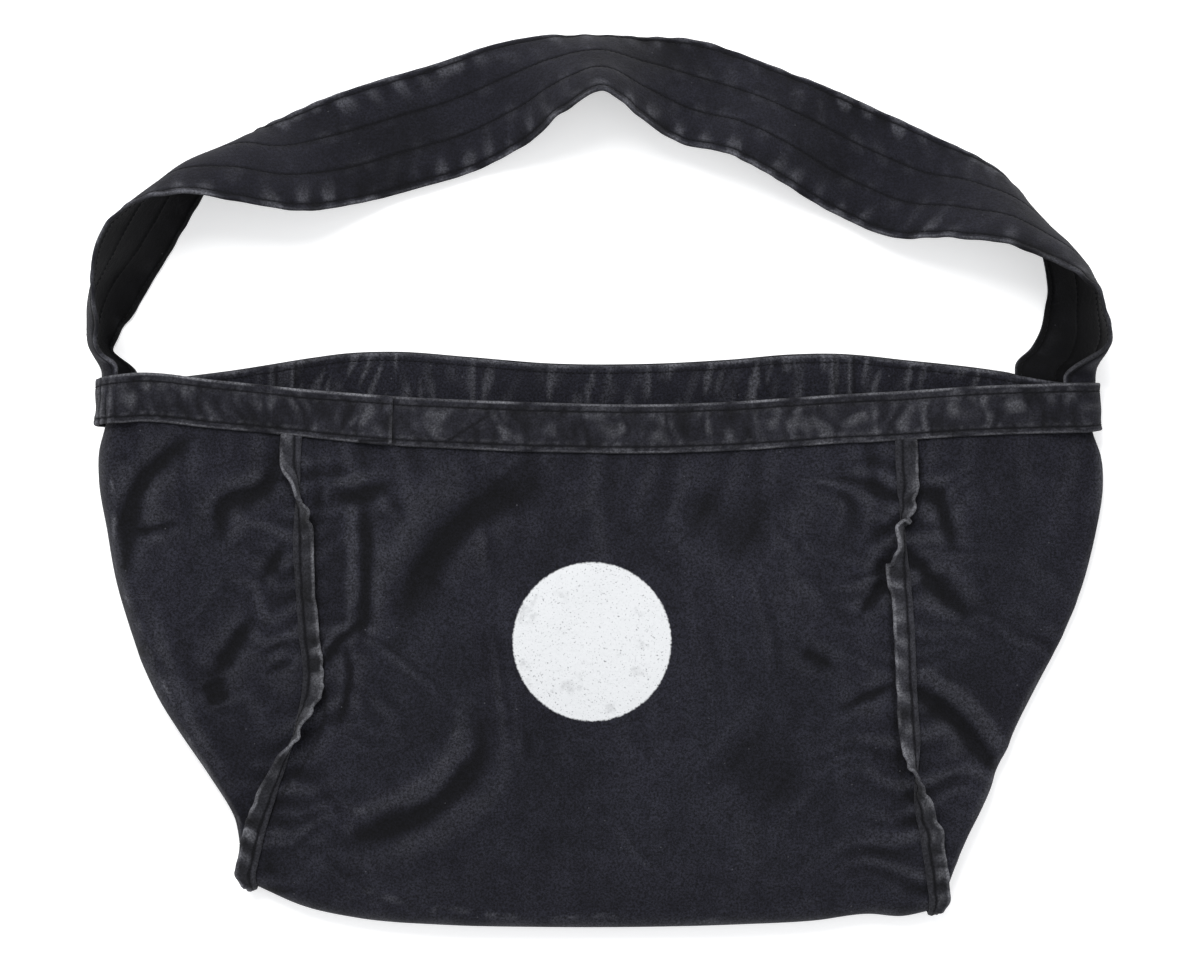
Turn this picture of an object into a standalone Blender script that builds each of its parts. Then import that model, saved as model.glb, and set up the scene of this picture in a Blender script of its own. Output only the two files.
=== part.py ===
"""A canvas newspaper delivery bag lying on its back, with its wide shoulder strap arched above the mouth.

Metres, +Z up. X runs across the bag, Y from its bottom fold up to the strap, and Z from the floor to the front.
The cloth is worked out as one closed skin: across the front, round the right gusset, across the back and round
the left gusset. Every sewn piece is laid on that skin at its own clearance.
"""

import math

import bmesh
import bpy
import numpy as np

# Driving sizes, in metres
BAG_WIDTH = 0.605  # rim, from one side fold to the other
BAG_HEIGHT = 0.324  # rim to bottom fold
BODY_DEPTH = 0.036  # how high the front stands off the floor
CLOTH = 0.0012  # canvas wall
GAP = 0.0003  # clearance between sewn pieces
BAND_HEIGHT = 0.029
BAND_THICKNESS = 0.0020
BAND_LAP = 0.014  # how far the band's end lies over its start
LAP_END = 0.151  # where the band ends, as a share of the front's width from the left seam
LAP_TRIM = 0.004  # share of the front's width that stays free of other columns beside the band's ends
WELT_WIDTH = 0.011
WELT_THICKNESS = 0.0022
WELT_CLEARANCE = 0.0008  # from a welt to the curved cloth that it lies along
WELT_RIPPLE = 0.0011  # how far the free edge of a welt waves to either side
WELT_WAVE = 0.016  # length of one ripple
WELT_SIGHT = 0.1  # share of the way round a gusset where a welt takes its bearing from the cloth
WELT_CORNER = 0.6  # share of its width that a welt loses where it turns under the bottom
STRAP_WIDTH = 0.069
STRAP_THICKNESS = 0.0024
STRAP_RISE = 0.211  # top of the strap above the rim
STRAP_TUCK = 0.018  # how far each end goes under the rim band
STRAP_LIP = 0.003  # how far it then runs straight on above the rim
TUCK_EASE = 0.0008  # clearance to either side of a tucked end
LEFT_TUCK_CENTRE = 0.003  # middle of the strap's end, past the side fold towards the back
RIGHT_TUCK_CENTRE = 0.014
LEFT_TUCK_GATHER = 0.66  # share of its width that the strap's end keeps
RIGHT_TUCK_GATHER = 1.0

CORNER_BULGE = 0.004  # how far the foot of a gusset rounds outwards
# Depths, as shares of the way from the rim to the bottom fold
CORNER_START = 0.86  # where the back starts to rise over the welts that turn under the bottom
OUTSET_END = 0.75  # where a gusset starts to draw in from beside the panel's edge to its foot
FOOT_ROWS = ((0.96, 0.4), (1.0, 1.0))  # the lowest rows of a gusset, and how far each is drawn to its foot
# Where the cloth lies over something on the floor, it comes down again within this distance
WELT_SLOPE = 0.022
WELT_SHOULDER = 0.004  # beyond a welt, before the cloth starts to slope
BAND_SLOPE = 0.030
TUCK_SLOPE = (0.002, 0.016)  # beyond the edge of the strap's end, where the cloth over it starts and stops sloping


class Table:
    """A short table of named columns, read along smooth curves through its rows."""

    def __init__(self, names, rows):
        columns = np.array(rows, float).T
        self.keys = columns[0]
        self.columns = dict(zip(names.split(), columns))
        self.slopes = {name: np.gradient(column, self.keys) for name, column in self.columns.items()}

    def at(self, name, key):
        key = np.clip(key, self.keys[0], self.keys[-1])
        low = np.clip(np.searchsorted(self.keys, key, side="right") - 1, 0, len(self.keys) - 2)
        span = self.keys[low + 1] - self.keys[low]
        t = (key - self.keys[low]) / span
        start, end = self.columns[name][low], self.columns[name][low + 1]
        rise, fall = self.slopes[name][low] * span, self.slopes[name][low + 1] * span
        return (
            start * (1 + 2 * t) * (1 - t) ** 2
            + rise * t * (1 - t) ** 2
            + end * t * t * (3 - 2 * t)
            - fall * t * t * (1 - t)
        )


# Lines down the bag. depth: 0 at the rim, 1 at the bottom fold. Sides and seams: shares of BAG_WIDTH from the middle.
# Edges: height of each side fold. Bulges: how far it rounds outwards. Both are shares of BODY_DEPTH.
SIDES = Table(
    "depth left_side left_seam right_seam right_side left_edge right_edge left_bulge right_bulge",
    [
        (0.0, -0.4870, -0.294, 0.292, 0.4870, 1.02, 0.45, 0.34, 0.14),
        (0.085, -0.4885, -0.295, 0.293, 0.4885, 1.00, 0.43, 0.33, 0.14),
        (0.14, -0.4955, -0.296, 0.294, 0.4965, 0.98, 0.42, 0.33, 0.14),
        (0.2, -0.496, -0.297, 0.296, 0.497, 0.94, 0.40, 0.32, 0.15),
        (0.3, -0.489, -0.301, 0.301, 0.490, 0.88, 0.38, 0.32, 0.16),
        (0.4, -0.481, -0.299, 0.306, 0.478, 0.82, 0.37, 0.32, 0.16),
        (0.5, -0.467, -0.295, 0.309, 0.458, 0.76, 0.38, 0.32, 0.17),
        (0.6, -0.449, -0.291, 0.311, 0.432, 0.71, 0.41, 0.31, 0.18),
        (0.7, -0.422, -0.300, 0.314, 0.406, 0.67, 0.45, 0.27, 0.18),
        (0.8, -0.390, -0.315, 0.311, 0.384, 0.63, 0.50, 0.20, 0.17),
        (0.9, -0.362, -0.330, 0.319, 0.360, 0.59, 0.54, 0.14, 0.14),
        (1.0, -0.359, -0.342, 0.327, 0.344, 0.55, 0.58, 0.12, 0.12),
    ],
)

# Height of the front down its left seam, its middle and its right seam. Shares of BODY_DEPTH.
CROWN = Table(
    "depth left middle right",
    [
        (0.00, 0.80, 0.62, 0.50),
        (0.15, 0.78, 0.78, 0.56),
        (0.40, 0.73, 0.95, 0.64),
        (0.65, 0.67, 1.00, 0.68),
        (0.85, 0.61, 0.86, 0.65),
        (1.00, 0.55, 0.64, 0.58),
    ],
)

# The rim and the bottom fold across the panels, from the left seam to the right one. Shares of BAG_HEIGHT, downwards.
LINES = Table(
    "across front_rim back_rim bottom",
    [
        (0.00, 0.009, -0.050, 0.922),
        (0.07, 0.015, -0.060, 0.960),
        (0.15, 0.022, -0.063, 0.982),
        (0.28, 0.029, -0.053, 0.995),
        (0.42, 0.034, -0.041, 0.999),
        (0.57, 0.037, -0.040, 0.999),
        (0.72, 0.032, -0.048, 0.994),
        (0.83, 0.024, -0.058, 0.987),
        (0.91, 0.018, -0.059, 0.975),
        (0.96, 0.015, -0.055, 0.979),
        (1.00, 0.013, -0.050, 0.969),
    ],
)

# The rim round a gusset, from the front seam by the side fold to the back seam. Shares of BAG_HEIGHT, downwards.
GUSSET_RIM = Table(
    "around left right",
    [
        (0.00, 0.009, 0.013),
        (0.20, -0.007, 0.002),
        (0.40, -0.020, -0.003),
        (0.50, -0.008, -0.004),
        (0.60, -0.010, -0.006),
        (0.80, -0.026, -0.032),
        (1.00, -0.050, -0.050),
    ],
)
FOLD_START, FOLD_END = 0.42, 0.58  # the share of the way round a gusset that its side fold takes
GUSSET_DIP = 0.09  # sag between seam and side fold, as a share of BODY_DEPTH

# Valleys and ridges of the front. Ends: shares of BAG_WIDTH across and of BAG_HEIGHT below the rim line.
# Reach: half width as a share of BAG_WIDTH. Rise: share of BODY_DEPTH, downwards where negative.
FOLD_COLUMNS = ("x0", "y0", "x1", "y1", "reach", "rise")
FOLDS = [
    (-0.020, 0.120, -0.200, 0.460, 0.030, -0.120),
    (-0.130, 0.110, -0.250, 0.300, 0.022, 0.045),
    (-0.252, 0.270, -0.260, 0.490, 0.012, -0.050),
    (-0.105, 0.680, -0.265, 0.840, 0.026, -0.110),
    (-0.010, 0.560, -0.120, 0.800, 0.030, 0.045),
    (-0.380, 0.090, -0.462, 0.330, 0.020, -0.110),
    (-0.334, 0.420, -0.374, 0.530, 0.012, -0.080),
    (0.314, 0.560, 0.384, 0.672, 0.013, -0.110),
    (0.325, 0.335, 0.375, 0.425, 0.016, -0.060),
    (0.290, 0.552, 0.248, 0.582, 0.014, -0.070),
    (0.240, 0.780, 0.100, 0.590, 0.034, -0.050),
    (0.316, 0.180, 0.345, 0.240, 0.014, -0.045),
]

# How the welts lean over each front seam, in degrees: 0 lies on the panel, 90 stands up and 180 lies on the gusset.
LEANS = Table(
    "depth left right",
    [
        (0.00, 172, 172),
        (0.14, 168, 172),
        (0.21, 90, 160),
        (0.28, 14, 70),
        (0.42, 8, 10),
        (0.60, 14, 8),
        (0.70, 78, 20),
        (0.78, 122, 100),
        (0.88, 160, 165),
        (1.00, 176, 176),
    ],
)

# The strap's sections, from its left end to its right end. along: order. far_x: share of BAG_WIDTH. far_y: share of
# STRAP_RISE above the rim line. This far edge lies on the floor. heading: the way from the far edge to the near one,
# seen from above. lean: how steeply it rises. curl: how far it turns across its width. Angles are degrees.
# gather: share of the full width.
STRAP_SECTIONS = Table(
    "along far_x far_y heading lean curl gather",
    [
        (0, -0.488, 0.108, 180, 88, 86, 0.76),
        (1, -0.478, 0.168, 180, 82, 96, 0.90),
        (2, -0.463, 0.226, 181, 73, 94, 1.00),
        (3, -0.452, 0.283, 182, 67, 80, 1.00),
        (4, -0.441, 0.340, 182, 63, 54, 1.00),
        (5, -0.430, 0.397, 180, 61, 32, 1.00),
        (6, -0.418, 0.452, 178, 61, 34, 1.00),
        (7, -0.398, 0.548, 192, 64, 62, 1.00),
        (8, -0.374, 0.648, 230, 60, 96, 1.00),
        (9, -0.348, 0.722, 264, 48, 80, 1.00),
        (10, -0.328, 0.750, 284, 36, 50, 1.00),
        (11, -0.279, 0.822, 287, 15, 14, 1.00),
        (12, -0.211, 0.888, 287, 7, 6, 1.00),
        (13, -0.154, 0.937, 288, 7, 4, 1.00),
        (14, -0.106, 0.981, 292, 22, 10, 1.00),
        (15, -0.054, 1.007, 283, 42, 12, 1.00),
        (16, 0.001, 1.013, 270, 55, 16, 1.00),
        (17, 0.051, 1.008, 261, 40, 12, 1.00),
        (18, 0.100, 0.993, 257, 21, 8, 1.00),
        (19, 0.150, 0.941, 253, 27, 10, 1.00),
        (20, 0.204, 0.884, 247, 25, 8, 1.00),
        (21, 0.285, 0.784, 246, 9, 4, 1.00),
        (22, 0.338, 0.711, 246, 18, 8, 1.00),
        (23, 0.383, 0.653, 246, 38, 20, 1.00),
        (24, 0.413, 0.582, 252, 54, 40, 1.00),
        (25, 0.432, 0.484, 270, 67, 58, 1.00),
        (26, 0.441, 0.386, 314, 70, 70, 1.00),
        (27, 0.447, 0.290, 346, 68, 66, 1.00),
        (28, 0.445, 0.226, 350, 64, 66, 1.00),
        (29, 0.441, 0.168, 354, 58, 82, 1.00),
        (30, 0.432, 0.118, 357, 50, 110, 0.98),
    ],
)

# How finely each stretch is cut, as shares of it
PANEL_COLUMNS = (0, 0.012, 0.03, 0.06, 0.10, 0.16, 0.23, 0.30, 0.37, 0.44)
PANEL_ACROSS = np.array(PANEL_COLUMNS + tuple(1 - share for share in PANEL_COLUMNS[::-1]))
GUSSET_FRONT = np.array((0, 0.15, 0.4, 0.65, 0.85, 1.0)) * FOLD_START
GUSSET_FOLD = np.linspace(FOLD_START, FOLD_END, 10)[1:-1]
GUSSET_BACK = 1 - np.array((0, 0.08, 0.18, 0.35, 0.65, 1.0))[::-1] * (1 - FOLD_END)
BAND_ROWS = np.array((0, 0.5, 1)) * BAND_HEIGHT / BAG_HEIGHT
LOWER_ROWS = np.array((0.07, 0.16, 0.25, 0.34, 0.43, 0.52, 0.61, 0.7, 0.79, 0.88, 1))
DOWN_ROWS = np.concatenate([BAND_ROWS, BAND_ROWS[-1] + LOWER_ROWS * (1 - BAND_ROWS[-1])])
TURN_STEPS = 6
STRAP_COLUMNS = np.array((0, 0.09, 0.15, 0.21, 0.27, 0.37, 0.5, 0.62, 0.70, 0.76, 0.82, 0.88, 0.94, 1))
STRAP_STATIONS = 48
WELT_FRONT_STEPS = 44
WELT_BACK_STEPS = 11


def lerp(a, b, t):
    return a + (b - a) * t


def fade(distance, near, far):
    """1 up to near, 0 from far on, and smooth between."""
    t = np.clip((distance - near) / (far - near), 0, 1)
    return 1 - t * t * (3 - 2 * t)


def unit(vectors):
    return vectors / np.linalg.norm(vectors, axis=-1, keepdims=True)


def points(x, y, z):
    return np.stack(np.broadcast_arrays(x, y, z), axis=-1).astype(float)


# The skin

def fold_relief(x, y):
    """Height of the valleys and ridges over one place of the front."""
    relief = np.zeros(np.broadcast(x, y).shape)
    for row in FOLDS:
        fold = dict(zip(FOLD_COLUMNS, row))
        start = np.array([fold["x0"] * BAG_WIDTH, -fold["y0"] * BAG_HEIGHT])
        way = np.array([fold["x1"] * BAG_WIDTH, -fold["y1"] * BAG_HEIGHT]) - start
        along = ((x - start[0]) * way[0] + (y - start[1]) * way[1]) / (way @ way)
        aside = np.hypot(x - start[0] - np.clip(along, 0, 1) * way[0], y - start[1] - np.clip(along, 0, 1) * way[1])
        relief += fold["rise"] * BODY_DEPTH * np.exp(-((aside / (fold["reach"] * BAG_WIDTH)) ** 2))
    return relief


def seam_x(side, depth):
    return BAG_WIDTH * SIDES.at("right_seam" if side > 0 else "left_seam", depth)


def side_x(side, depth):
    return BAG_WIDTH * SIDES.at("right_side" if side > 0 else "left_side", depth)


def turn_radius(across):
    """Half the thickness of the bottom fold."""
    middle = CROWN.at("middle", 1.0) - (CROWN.at("left", 1.0) + CROWN.at("right", 1.0)) / 2
    thickness = lerp(CROWN.at("left", 1.0), CROWN.at("right", 1.0), across) + middle * np.sin(np.pi * across)
    return (thickness * BODY_DEPTH - seam_lift()) / 2


def panel_y(rim, across, depth):
    bottom = BAG_HEIGHT * LINES.at("bottom", across) - turn_radius(across)
    return -lerp(BAG_HEIGHT * LINES.at(rim, across), bottom, depth)


def front_height(across, depth):
    left, middle, right = (CROWN.at(name, depth) for name in ("left", "middle", "right"))
    return BODY_DEPTH * (lerp(left, right, across) + (middle - (left + right) / 2) * np.sin(np.pi * across))


def seam_lift():
    """Height of the back over a welt that lies on the floor."""
    return GAP + WELT_THICKNESS


def below_rim(depth):
    return depth * BAG_HEIGHT


def rim_lift(tuck):
    """Height of the back over the rim band, and over the strap's end where tuck is 1."""
    over_band = GAP + BAND_THICKNESS
    return over_band + tuck * (STRAP_THICKNESS + 2 * TUCK_EASE - GAP)


def back_height(seam_distance, near, depth, tuck):
    """Height of the back's outer face: on the floor, but for the welt and the rim band that it lies over."""
    over_welt = seam_lift() * fade(seam_distance, near, near + WELT_SLOPE)
    over_rim = rim_lift(tuck) * fade(below_rim(depth), BAND_HEIGHT + GAP, BAND_HEIGHT + BAND_SLOPE)
    corner = seam_lift() * (1 - fade(depth, CORNER_START, 1.0))
    return np.maximum(np.maximum(over_welt, over_rim), corner)


def front_point(across, depth):
    x = lerp(seam_x(-1, depth), seam_x(1, depth), across)
    y = panel_y("front_rim", across, depth)
    return points(x, y, front_height(across, depth) + fold_relief(x, y) * fade(depth, 0.8, 1.0))


def back_point(across, depth):
    left, right = seam_x(-1, depth), seam_x(1, depth)
    distance = np.minimum(across, 1 - across) * (right - left)
    z = back_height(distance, GAP, depth, 0.0)
    return points(lerp(left, right, across), panel_y("back_rim", across, depth), z)


def gusset_point(side, around, depth, tucked=True, outset=0.0):
    """around runs from the front seam, 0, round the side fold to the back seam, 1."""
    name = "right" if side > 0 else "left"
    tuck = tuck_share(side, around) if tucked else 0.0
    seam, edge_x = seam_x(side, depth) + side * outset, side_x(side, depth)
    bulge = np.minimum(BODY_DEPTH * SIDES.at(name + "_bulge", depth), 0.6 * np.abs(edge_x - seam))
    fold_x = edge_x - side * bulge
    to_fold = np.clip(around / FOLD_START, 0, 1)
    from_fold = np.clip((1 - around) / (1 - FOLD_END), 0, 1)
    turn = np.pi * np.clip((around - FOLD_START) / (FOLD_END - FOLD_START), 0, 1)
    on_front, on_back = around < FOLD_START, around > FOLD_END
    x = np.where(on_front, lerp(seam, fold_x, to_fold), np.where(on_back, lerp(seam, fold_x, from_fold), fold_x))
    x = x + side * bulge * np.sin(turn)
    across = 1.0 if side > 0 else 0.0
    rim = BAG_HEIGHT * GUSSET_RIM.at(name, around)
    bottom = BAG_HEIGHT * LINES.at("bottom", across) - turn_radius(across)
    y = -lerp(rim, bottom, depth)
    edge = BODY_DEPTH * SIDES.at(name + "_edge", depth)
    dip = GUSSET_DIP * BODY_DEPTH * np.sin(np.pi * to_fold) * fade(depth, 0.3, 1.0)
    front = lerp(front_height(across, depth), edge, to_fold) - dip
    front = front + fold_relief(x, y) * fade(depth, 0.75, 0.95) * fade(to_fold, 0.75, 1.0)
    back = back_height(from_fold * np.abs(fold_x - seam), WELT_WIDTH + WELT_SHOULDER, depth, tuck)
    z = np.where(on_front, front, np.where(on_back, back, (edge + back) / 2 + (edge - back) / 2 * np.cos(turn)))
    return points(x, y, z)


def tuck_ruler(side):
    """Distances round a gusset's rim from the middle of its side fold, positive towards the back."""
    around = np.linspace(0, 1, 801)
    steps = np.linalg.norm(np.diff(gusset_point(side, around, 0.0, tucked=False), axis=0), axis=1)
    run = np.concatenate([[0], np.cumsum(steps)])
    return around, run - np.interp((FOLD_START + FOLD_END) / 2, around, run)


def tuck_centre(side):
    return RIGHT_TUCK_CENTRE if side > 0 else LEFT_TUCK_CENTRE


def tuck_width(side):
    return STRAP_WIDTH * (RIGHT_TUCK_GATHER if side > 0 else LEFT_TUCK_GATHER)


def tuck_share(side, around):
    """1 where the strap's end lies between the cloth and the band, 0 away from it."""
    rulers, run = TUCK_RULERS[side]
    beyond = np.abs(np.interp(around, rulers, run) - tuck_centre(side)) - tuck_width(side) / 2
    return fade(beyond, TUCK_SLOPE[0], TUCK_SLOPE[1])


def gusset_around(side):
    """The places round a gusset where its cloth has a column of points, some of them at the strap's edges."""
    rulers, run = TUCK_RULERS[side]
    beyond = tuck_width(side) / 2 + np.array((TUCK_SLOPE[0], sum(TUCK_SLOPE) / 2, TUCK_SLOPE[1]))
    edges = np.interp(np.concatenate([tuck_centre(side) - beyond, tuck_centre(side) + beyond]), run, rulers)
    return np.unique(np.concatenate([GUSSET_FRONT, GUSSET_FOLD, GUSSET_BACK, edges]))


TUCK_RULERS = {side: tuck_ruler(side) for side in (-1, 1)}
GUSSET_AROUND = {side: gusset_around(side) for side in (-1, 1)}
LOOP_COLUMNS = np.unique(
    np.concatenate([PANEL_ACROSS, 1 + GUSSET_AROUND[1], 3 - PANEL_ACROSS, 4 - GUSSET_AROUND[-1]]).round(9)
)


def skin_point(loop, depth):
    """loop: 0 to 1 across the front, to 2 round the right gusset, to 3 across the back, to 4 round the left one."""
    loop, depth = np.broadcast_arrays(np.asarray(loop, float) % 4, np.asarray(depth, float))
    stretches = (
        lambda share, down: front_point(share, down),
        lambda share, down: gusset_point(1, share, down),
        lambda share, down: back_point(1 - share, down),
        lambda share, down: gusset_point(-1, 1 - share, down),
    )
    found = np.zeros(loop.shape + (3,))
    for number, stretch in enumerate(stretches):
        inside = np.floor(loop).astype(int) == number
        if inside.any():
            found[inside] = stretch(loop[inside] - number, depth[inside])
    return found


SKIN = skin_point(LOOP_COLUMNS[None, :], DOWN_ROWS[:, None])


def laid_point(loop, depth):
    """A place on the cloth as it is built, with flat facets between its rows and columns."""
    loop, depth = np.broadcast_arrays(np.asarray(loop, float) % 4, np.asarray(depth, float))
    column = np.clip(np.searchsorted(LOOP_COLUMNS, loop, side="right") - 1, 0, len(LOOP_COLUMNS) - 2)
    row = np.clip(np.searchsorted(DOWN_ROWS, depth, side="right") - 1, 0, len(DOWN_ROWS) - 2)
    u = ((loop - LOOP_COLUMNS[column]) / (LOOP_COLUMNS[column + 1] - LOOP_COLUMNS[column]))[..., None]
    v = ((depth - DOWN_ROWS[row]) / (DOWN_ROWS[row + 1] - DOWN_ROWS[row]))[..., None]
    upper = lerp(SKIN[row, column], SKIN[row, column + 1], u)
    lower = lerp(SKIN[row + 1, column], SKIN[row + 1, column + 1], u)
    return lerp(upper, lower, v)


def skin_normal(loop, depth, step=0.002):
    """The way out of the bag, measured over a short step either way."""
    around = skin_point(np.asarray(loop) + step, depth) - skin_point(np.asarray(loop) - step, depth)
    down = skin_point(loop, np.asarray(depth) + step) - skin_point(loop, np.asarray(depth) - step)
    return unit(np.cross(down, around))


def bottom_turn(across, angle):
    """The half round by which a panel passes from the front, angle 0, under the bottom to the back, angle pi."""
    front, back = front_point(across, 1.0), back_point(across, 1.0)
    centre, radius = (front + back) / 2, turn_radius(across)
    return centre + points(0 * angle, -radius * np.sin(angle), (front - back)[..., 2] / 2 * np.cos(angle))


# The pieces

def cloth_material(name, colour, roughness):
    material = bpy.data.materials.new(name)
    material.use_nodes = True
    shader = material.node_tree.nodes["Principled BSDF"]
    shader.inputs["Base Color"].default_value = (*colour, 1)
    shader.inputs["Roughness"].default_value = roughness
    shader.inputs["Metallic"].default_value = 0.0
    return material


def sheet(name, rows, thickness, offset, material, bag):
    """A cloth piece: a grid whose rows of points are given, with a wall of the stated thickness."""
    rows = np.asarray(rows)
    down, across = rows.shape[0] - 1, rows.shape[1] - 1
    mesh = bpy.data.meshes.new(name)
    shape = bmesh.new()
    bmesh.ops.create_grid(shape, x_segments=across, y_segments=down, size=0.5)
    for vertex in shape.verts:
        column, row = round((vertex.co.x + 0.5) * across), round((vertex.co.y + 0.5) * down)
        vertex.co = rows[row, column]
    shape.to_mesh(mesh)
    shape.free()
    mesh.shade_smooth()
    piece = bpy.data.objects.new(name, mesh)
    piece.data.materials.append(material)
    wall = piece.modifiers.new("wall", "SOLIDIFY")
    wall.thickness = thickness
    wall.offset = offset
    bag["collection"].objects.link(piece)
    piece.parent = bag["origin"]
    return piece


def main_panel(material, bag):
    """Front, bottom and back in one length of canvas."""
    trim = GAP / 2 / (seam_x(1, 0.0) - seam_x(-1, 0.0))
    across = np.clip(PANEL_ACROSS, trim, 1 - trim)
    rows = [back_point(across, depth) for depth in DOWN_ROWS]
    angles = np.linspace(math.pi, 0, TURN_STEPS + 1)[1:-1]
    rows += [bottom_turn(across, np.full_like(across, angle)) for angle in angles]
    rows += [front_point(across, depth) for depth in DOWN_ROWS[::-1]]
    return sheet("main_panel", rows, CLOTH, -1, material, bag)


def gusset(side, material, bag):
    """A side panel, folded down its middle and closed at its foot round the end of the bottom fold."""
    trim = GAP / 2 / (BAG_WIDTH / 4)
    around = np.clip(GUSSET_AROUND[side], trim, 1 - trim)
    outset = CLOTH + 2 * GAP

    def loop_at(depth):
        kept = outset * (1 - fade(depth, OUTSET_END, 1.0))
        return gusset_point(side, around, np.full_like(around, depth), outset=kept)

    rows = [loop_at(depth) for depth in DOWN_ROWS[:-1]]
    across = 1.0 if side > 0 else 0.0
    foot = bottom_turn(np.full_like(around, across), np.pi * around)
    foot[:, 0] += side * (outset + CORNER_BULGE * np.sin(np.pi * around))
    rows += [lerp(loop_at(depth), foot, share) for depth, share in FOOT_ROWS]
    rows = np.array(rows[::-1])
    if side < 0:
        rows = rows[:, ::-1]
    return sheet("gusset_" + ("right" if side > 0 else "left"), rows, CLOTH, -1, material, bag)


def rim_band(material, bag):
    """The band sewn round the outside of the rim, its end lapped over its start on the front."""
    front_width = seam_x(1, 0.0) - seam_x(-1, 0.0)
    lap_start = LAP_END - BAND_LAP / front_width
    ramp_start = lap_start - BAND_LAP / front_width
    loop = [PANEL_ACROSS, 1 + GUSSET_AROUND[1], 3 - PANEL_ACROSS, 4 - GUSSET_AROUND[-1], 4 + PANEL_ACROSS]
    loop = np.unique(np.round(np.concatenate(loop), 9))
    loop = loop[(loop > lap_start + LAP_TRIM) & (loop < 4 + LAP_END - LAP_TRIM)]
    extra = [lap_start, 4 + ramp_start, 4 + (ramp_start + lap_start) / 2, 4 + lap_start, 4 + LAP_END]
    loop = np.unique(np.concatenate([loop, extra]))
    past_lap = 1 - fade(loop - 4, ramp_start, lap_start)
    over_lap = past_lap * (BAND_THICKNESS + GAP)
    tuck = np.zeros_like(loop)
    right, left = (loop > 1) & (loop < 2), (loop > 3) & (loop < 4)
    tuck[right] = tuck_share(1, loop[right] - 1)
    tuck[left] = tuck_share(-1, 4 - loop[left])
    stand_off = GAP + BAND_THICKNESS / 2 + tuck * (STRAP_THICKNESS + 2 * TUCK_EASE - GAP) + over_lap
    rows = []
    for row in BAND_ROWS[::-1]:
        depth = np.full_like(loop, row)
        rows.append(laid_point(loop, depth) + skin_normal(loop, depth) * stand_off[:, None])
    return sheet("rim_band", rows, BAND_THICKNESS, 0, material, bag)


def beside_seam(side, reach, depth, on_back=False):
    """A place of the skin at a signed reach from a seam, positive on the panel, and the way out of the bag there."""
    seam = {(-1, False): 4.0, (1, False): 1.0, (1, True): 2.0, (-1, True): 3.0}[(side, on_back)]
    to_panel = -1 if seam in (1.0, 3.0) else 1
    seam_at, edge_x = seam_x(side, depth), side_x(side, depth)
    if reach >= 0:
        loop = seam + to_panel * reach / (seam_x(1, depth) - seam_x(-1, depth))
        return laid_point(loop, depth), skin_normal(loop, depth)
    width = np.abs(edge_x - seam_at)
    flat = width - min(BODY_DEPTH * SIDES.at(("right" if side > 0 else "left") + "_bulge", depth), 0.6 * width)
    on_gusset = min(-reach, flat)
    place = laid_point(seam - to_panel * FOLD_START * on_gusset / flat, depth)
    place[0] += side * (-reach - on_gusset)
    return place, skin_normal(seam - to_panel * WELT_SIGHT, depth)


def seam_welt(side, material, bag):
    """The folded seam allowance, which runs down a front seam, round the corner and up the back seam."""
    name = "right" if side > 0 else "left"
    stand_off = WELT_CLEARANCE + WELT_THICKNESS / 2
    start = (BAND_HEIGHT + 4 * GAP) / BAG_HEIGHT
    shares = (0, 0.5, 1)
    rows = []
    run = 0.0
    before = beside_seam(side, 0, start)[0]
    for depth in np.linspace(start, 1, WELT_FRONT_STEPS):
        here = beside_seam(side, 0, depth)[0]
        run += float(np.linalg.norm(here - before))
        before = here
        lean = math.radians(float(LEANS.at(name, depth)))
        ripple = WELT_RIPPLE * math.sin(2 * math.pi * run / WELT_WAVE)
        row = []
        for share in shares:
            place, out = beside_seam(side, share * WELT_WIDTH * math.cos(lean), depth)
            lift = stand_off + share * (WELT_WIDTH * math.sin(lean) + WELT_RIPPLE + ripple * abs(math.cos(lean)))
            row.append(place + out * lift + points(share * ripple * math.sin(lean), 0, 0))
        rows.append(row)
    across = 1.0 if side > 0 else 0.0
    for angle in np.linspace(0, math.pi, TURN_STEPS + 3)[1:-1]:
        out = np.array([0.0, -math.sin(angle), math.cos(angle)])
        root = bottom_turn(np.array(across), np.array(angle)) + out * stand_off
        width = WELT_WIDTH * (1 - WELT_CORNER * math.sin(angle) ** 2)
        rows.append([root + points(side * share * width, 0, 0) for share in shares])
    for depth in np.linspace(1, start, WELT_BACK_STEPS):
        row = [beside_seam(side, -share * WELT_WIDTH, depth, on_back=True)[0] for share in shares]
        rows.append([points(place[0], place[1], WELT_THICKNESS / 2) for place in row])
    return sheet("seam_welt_" + name, rows, WELT_THICKNESS, 0, material, bag)


def tucked_section(side, share, down):
    """The strap's section where it lies on a side of the bag, down metres below the rim."""
    rulers, run = TUCK_RULERS[side]
    reach = tuck_centre(side) + (0.5 - share) * tuck_width(side)
    around = np.interp(reach, run, rulers)
    loop = 1 + around if side > 0 else 4 - around
    depth = np.full_like(around, down / BAG_HEIGHT)
    return laid_point(loop, depth) + skin_normal(loop, depth) * (TUCK_EASE + STRAP_THICKNESS / 2)


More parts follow.
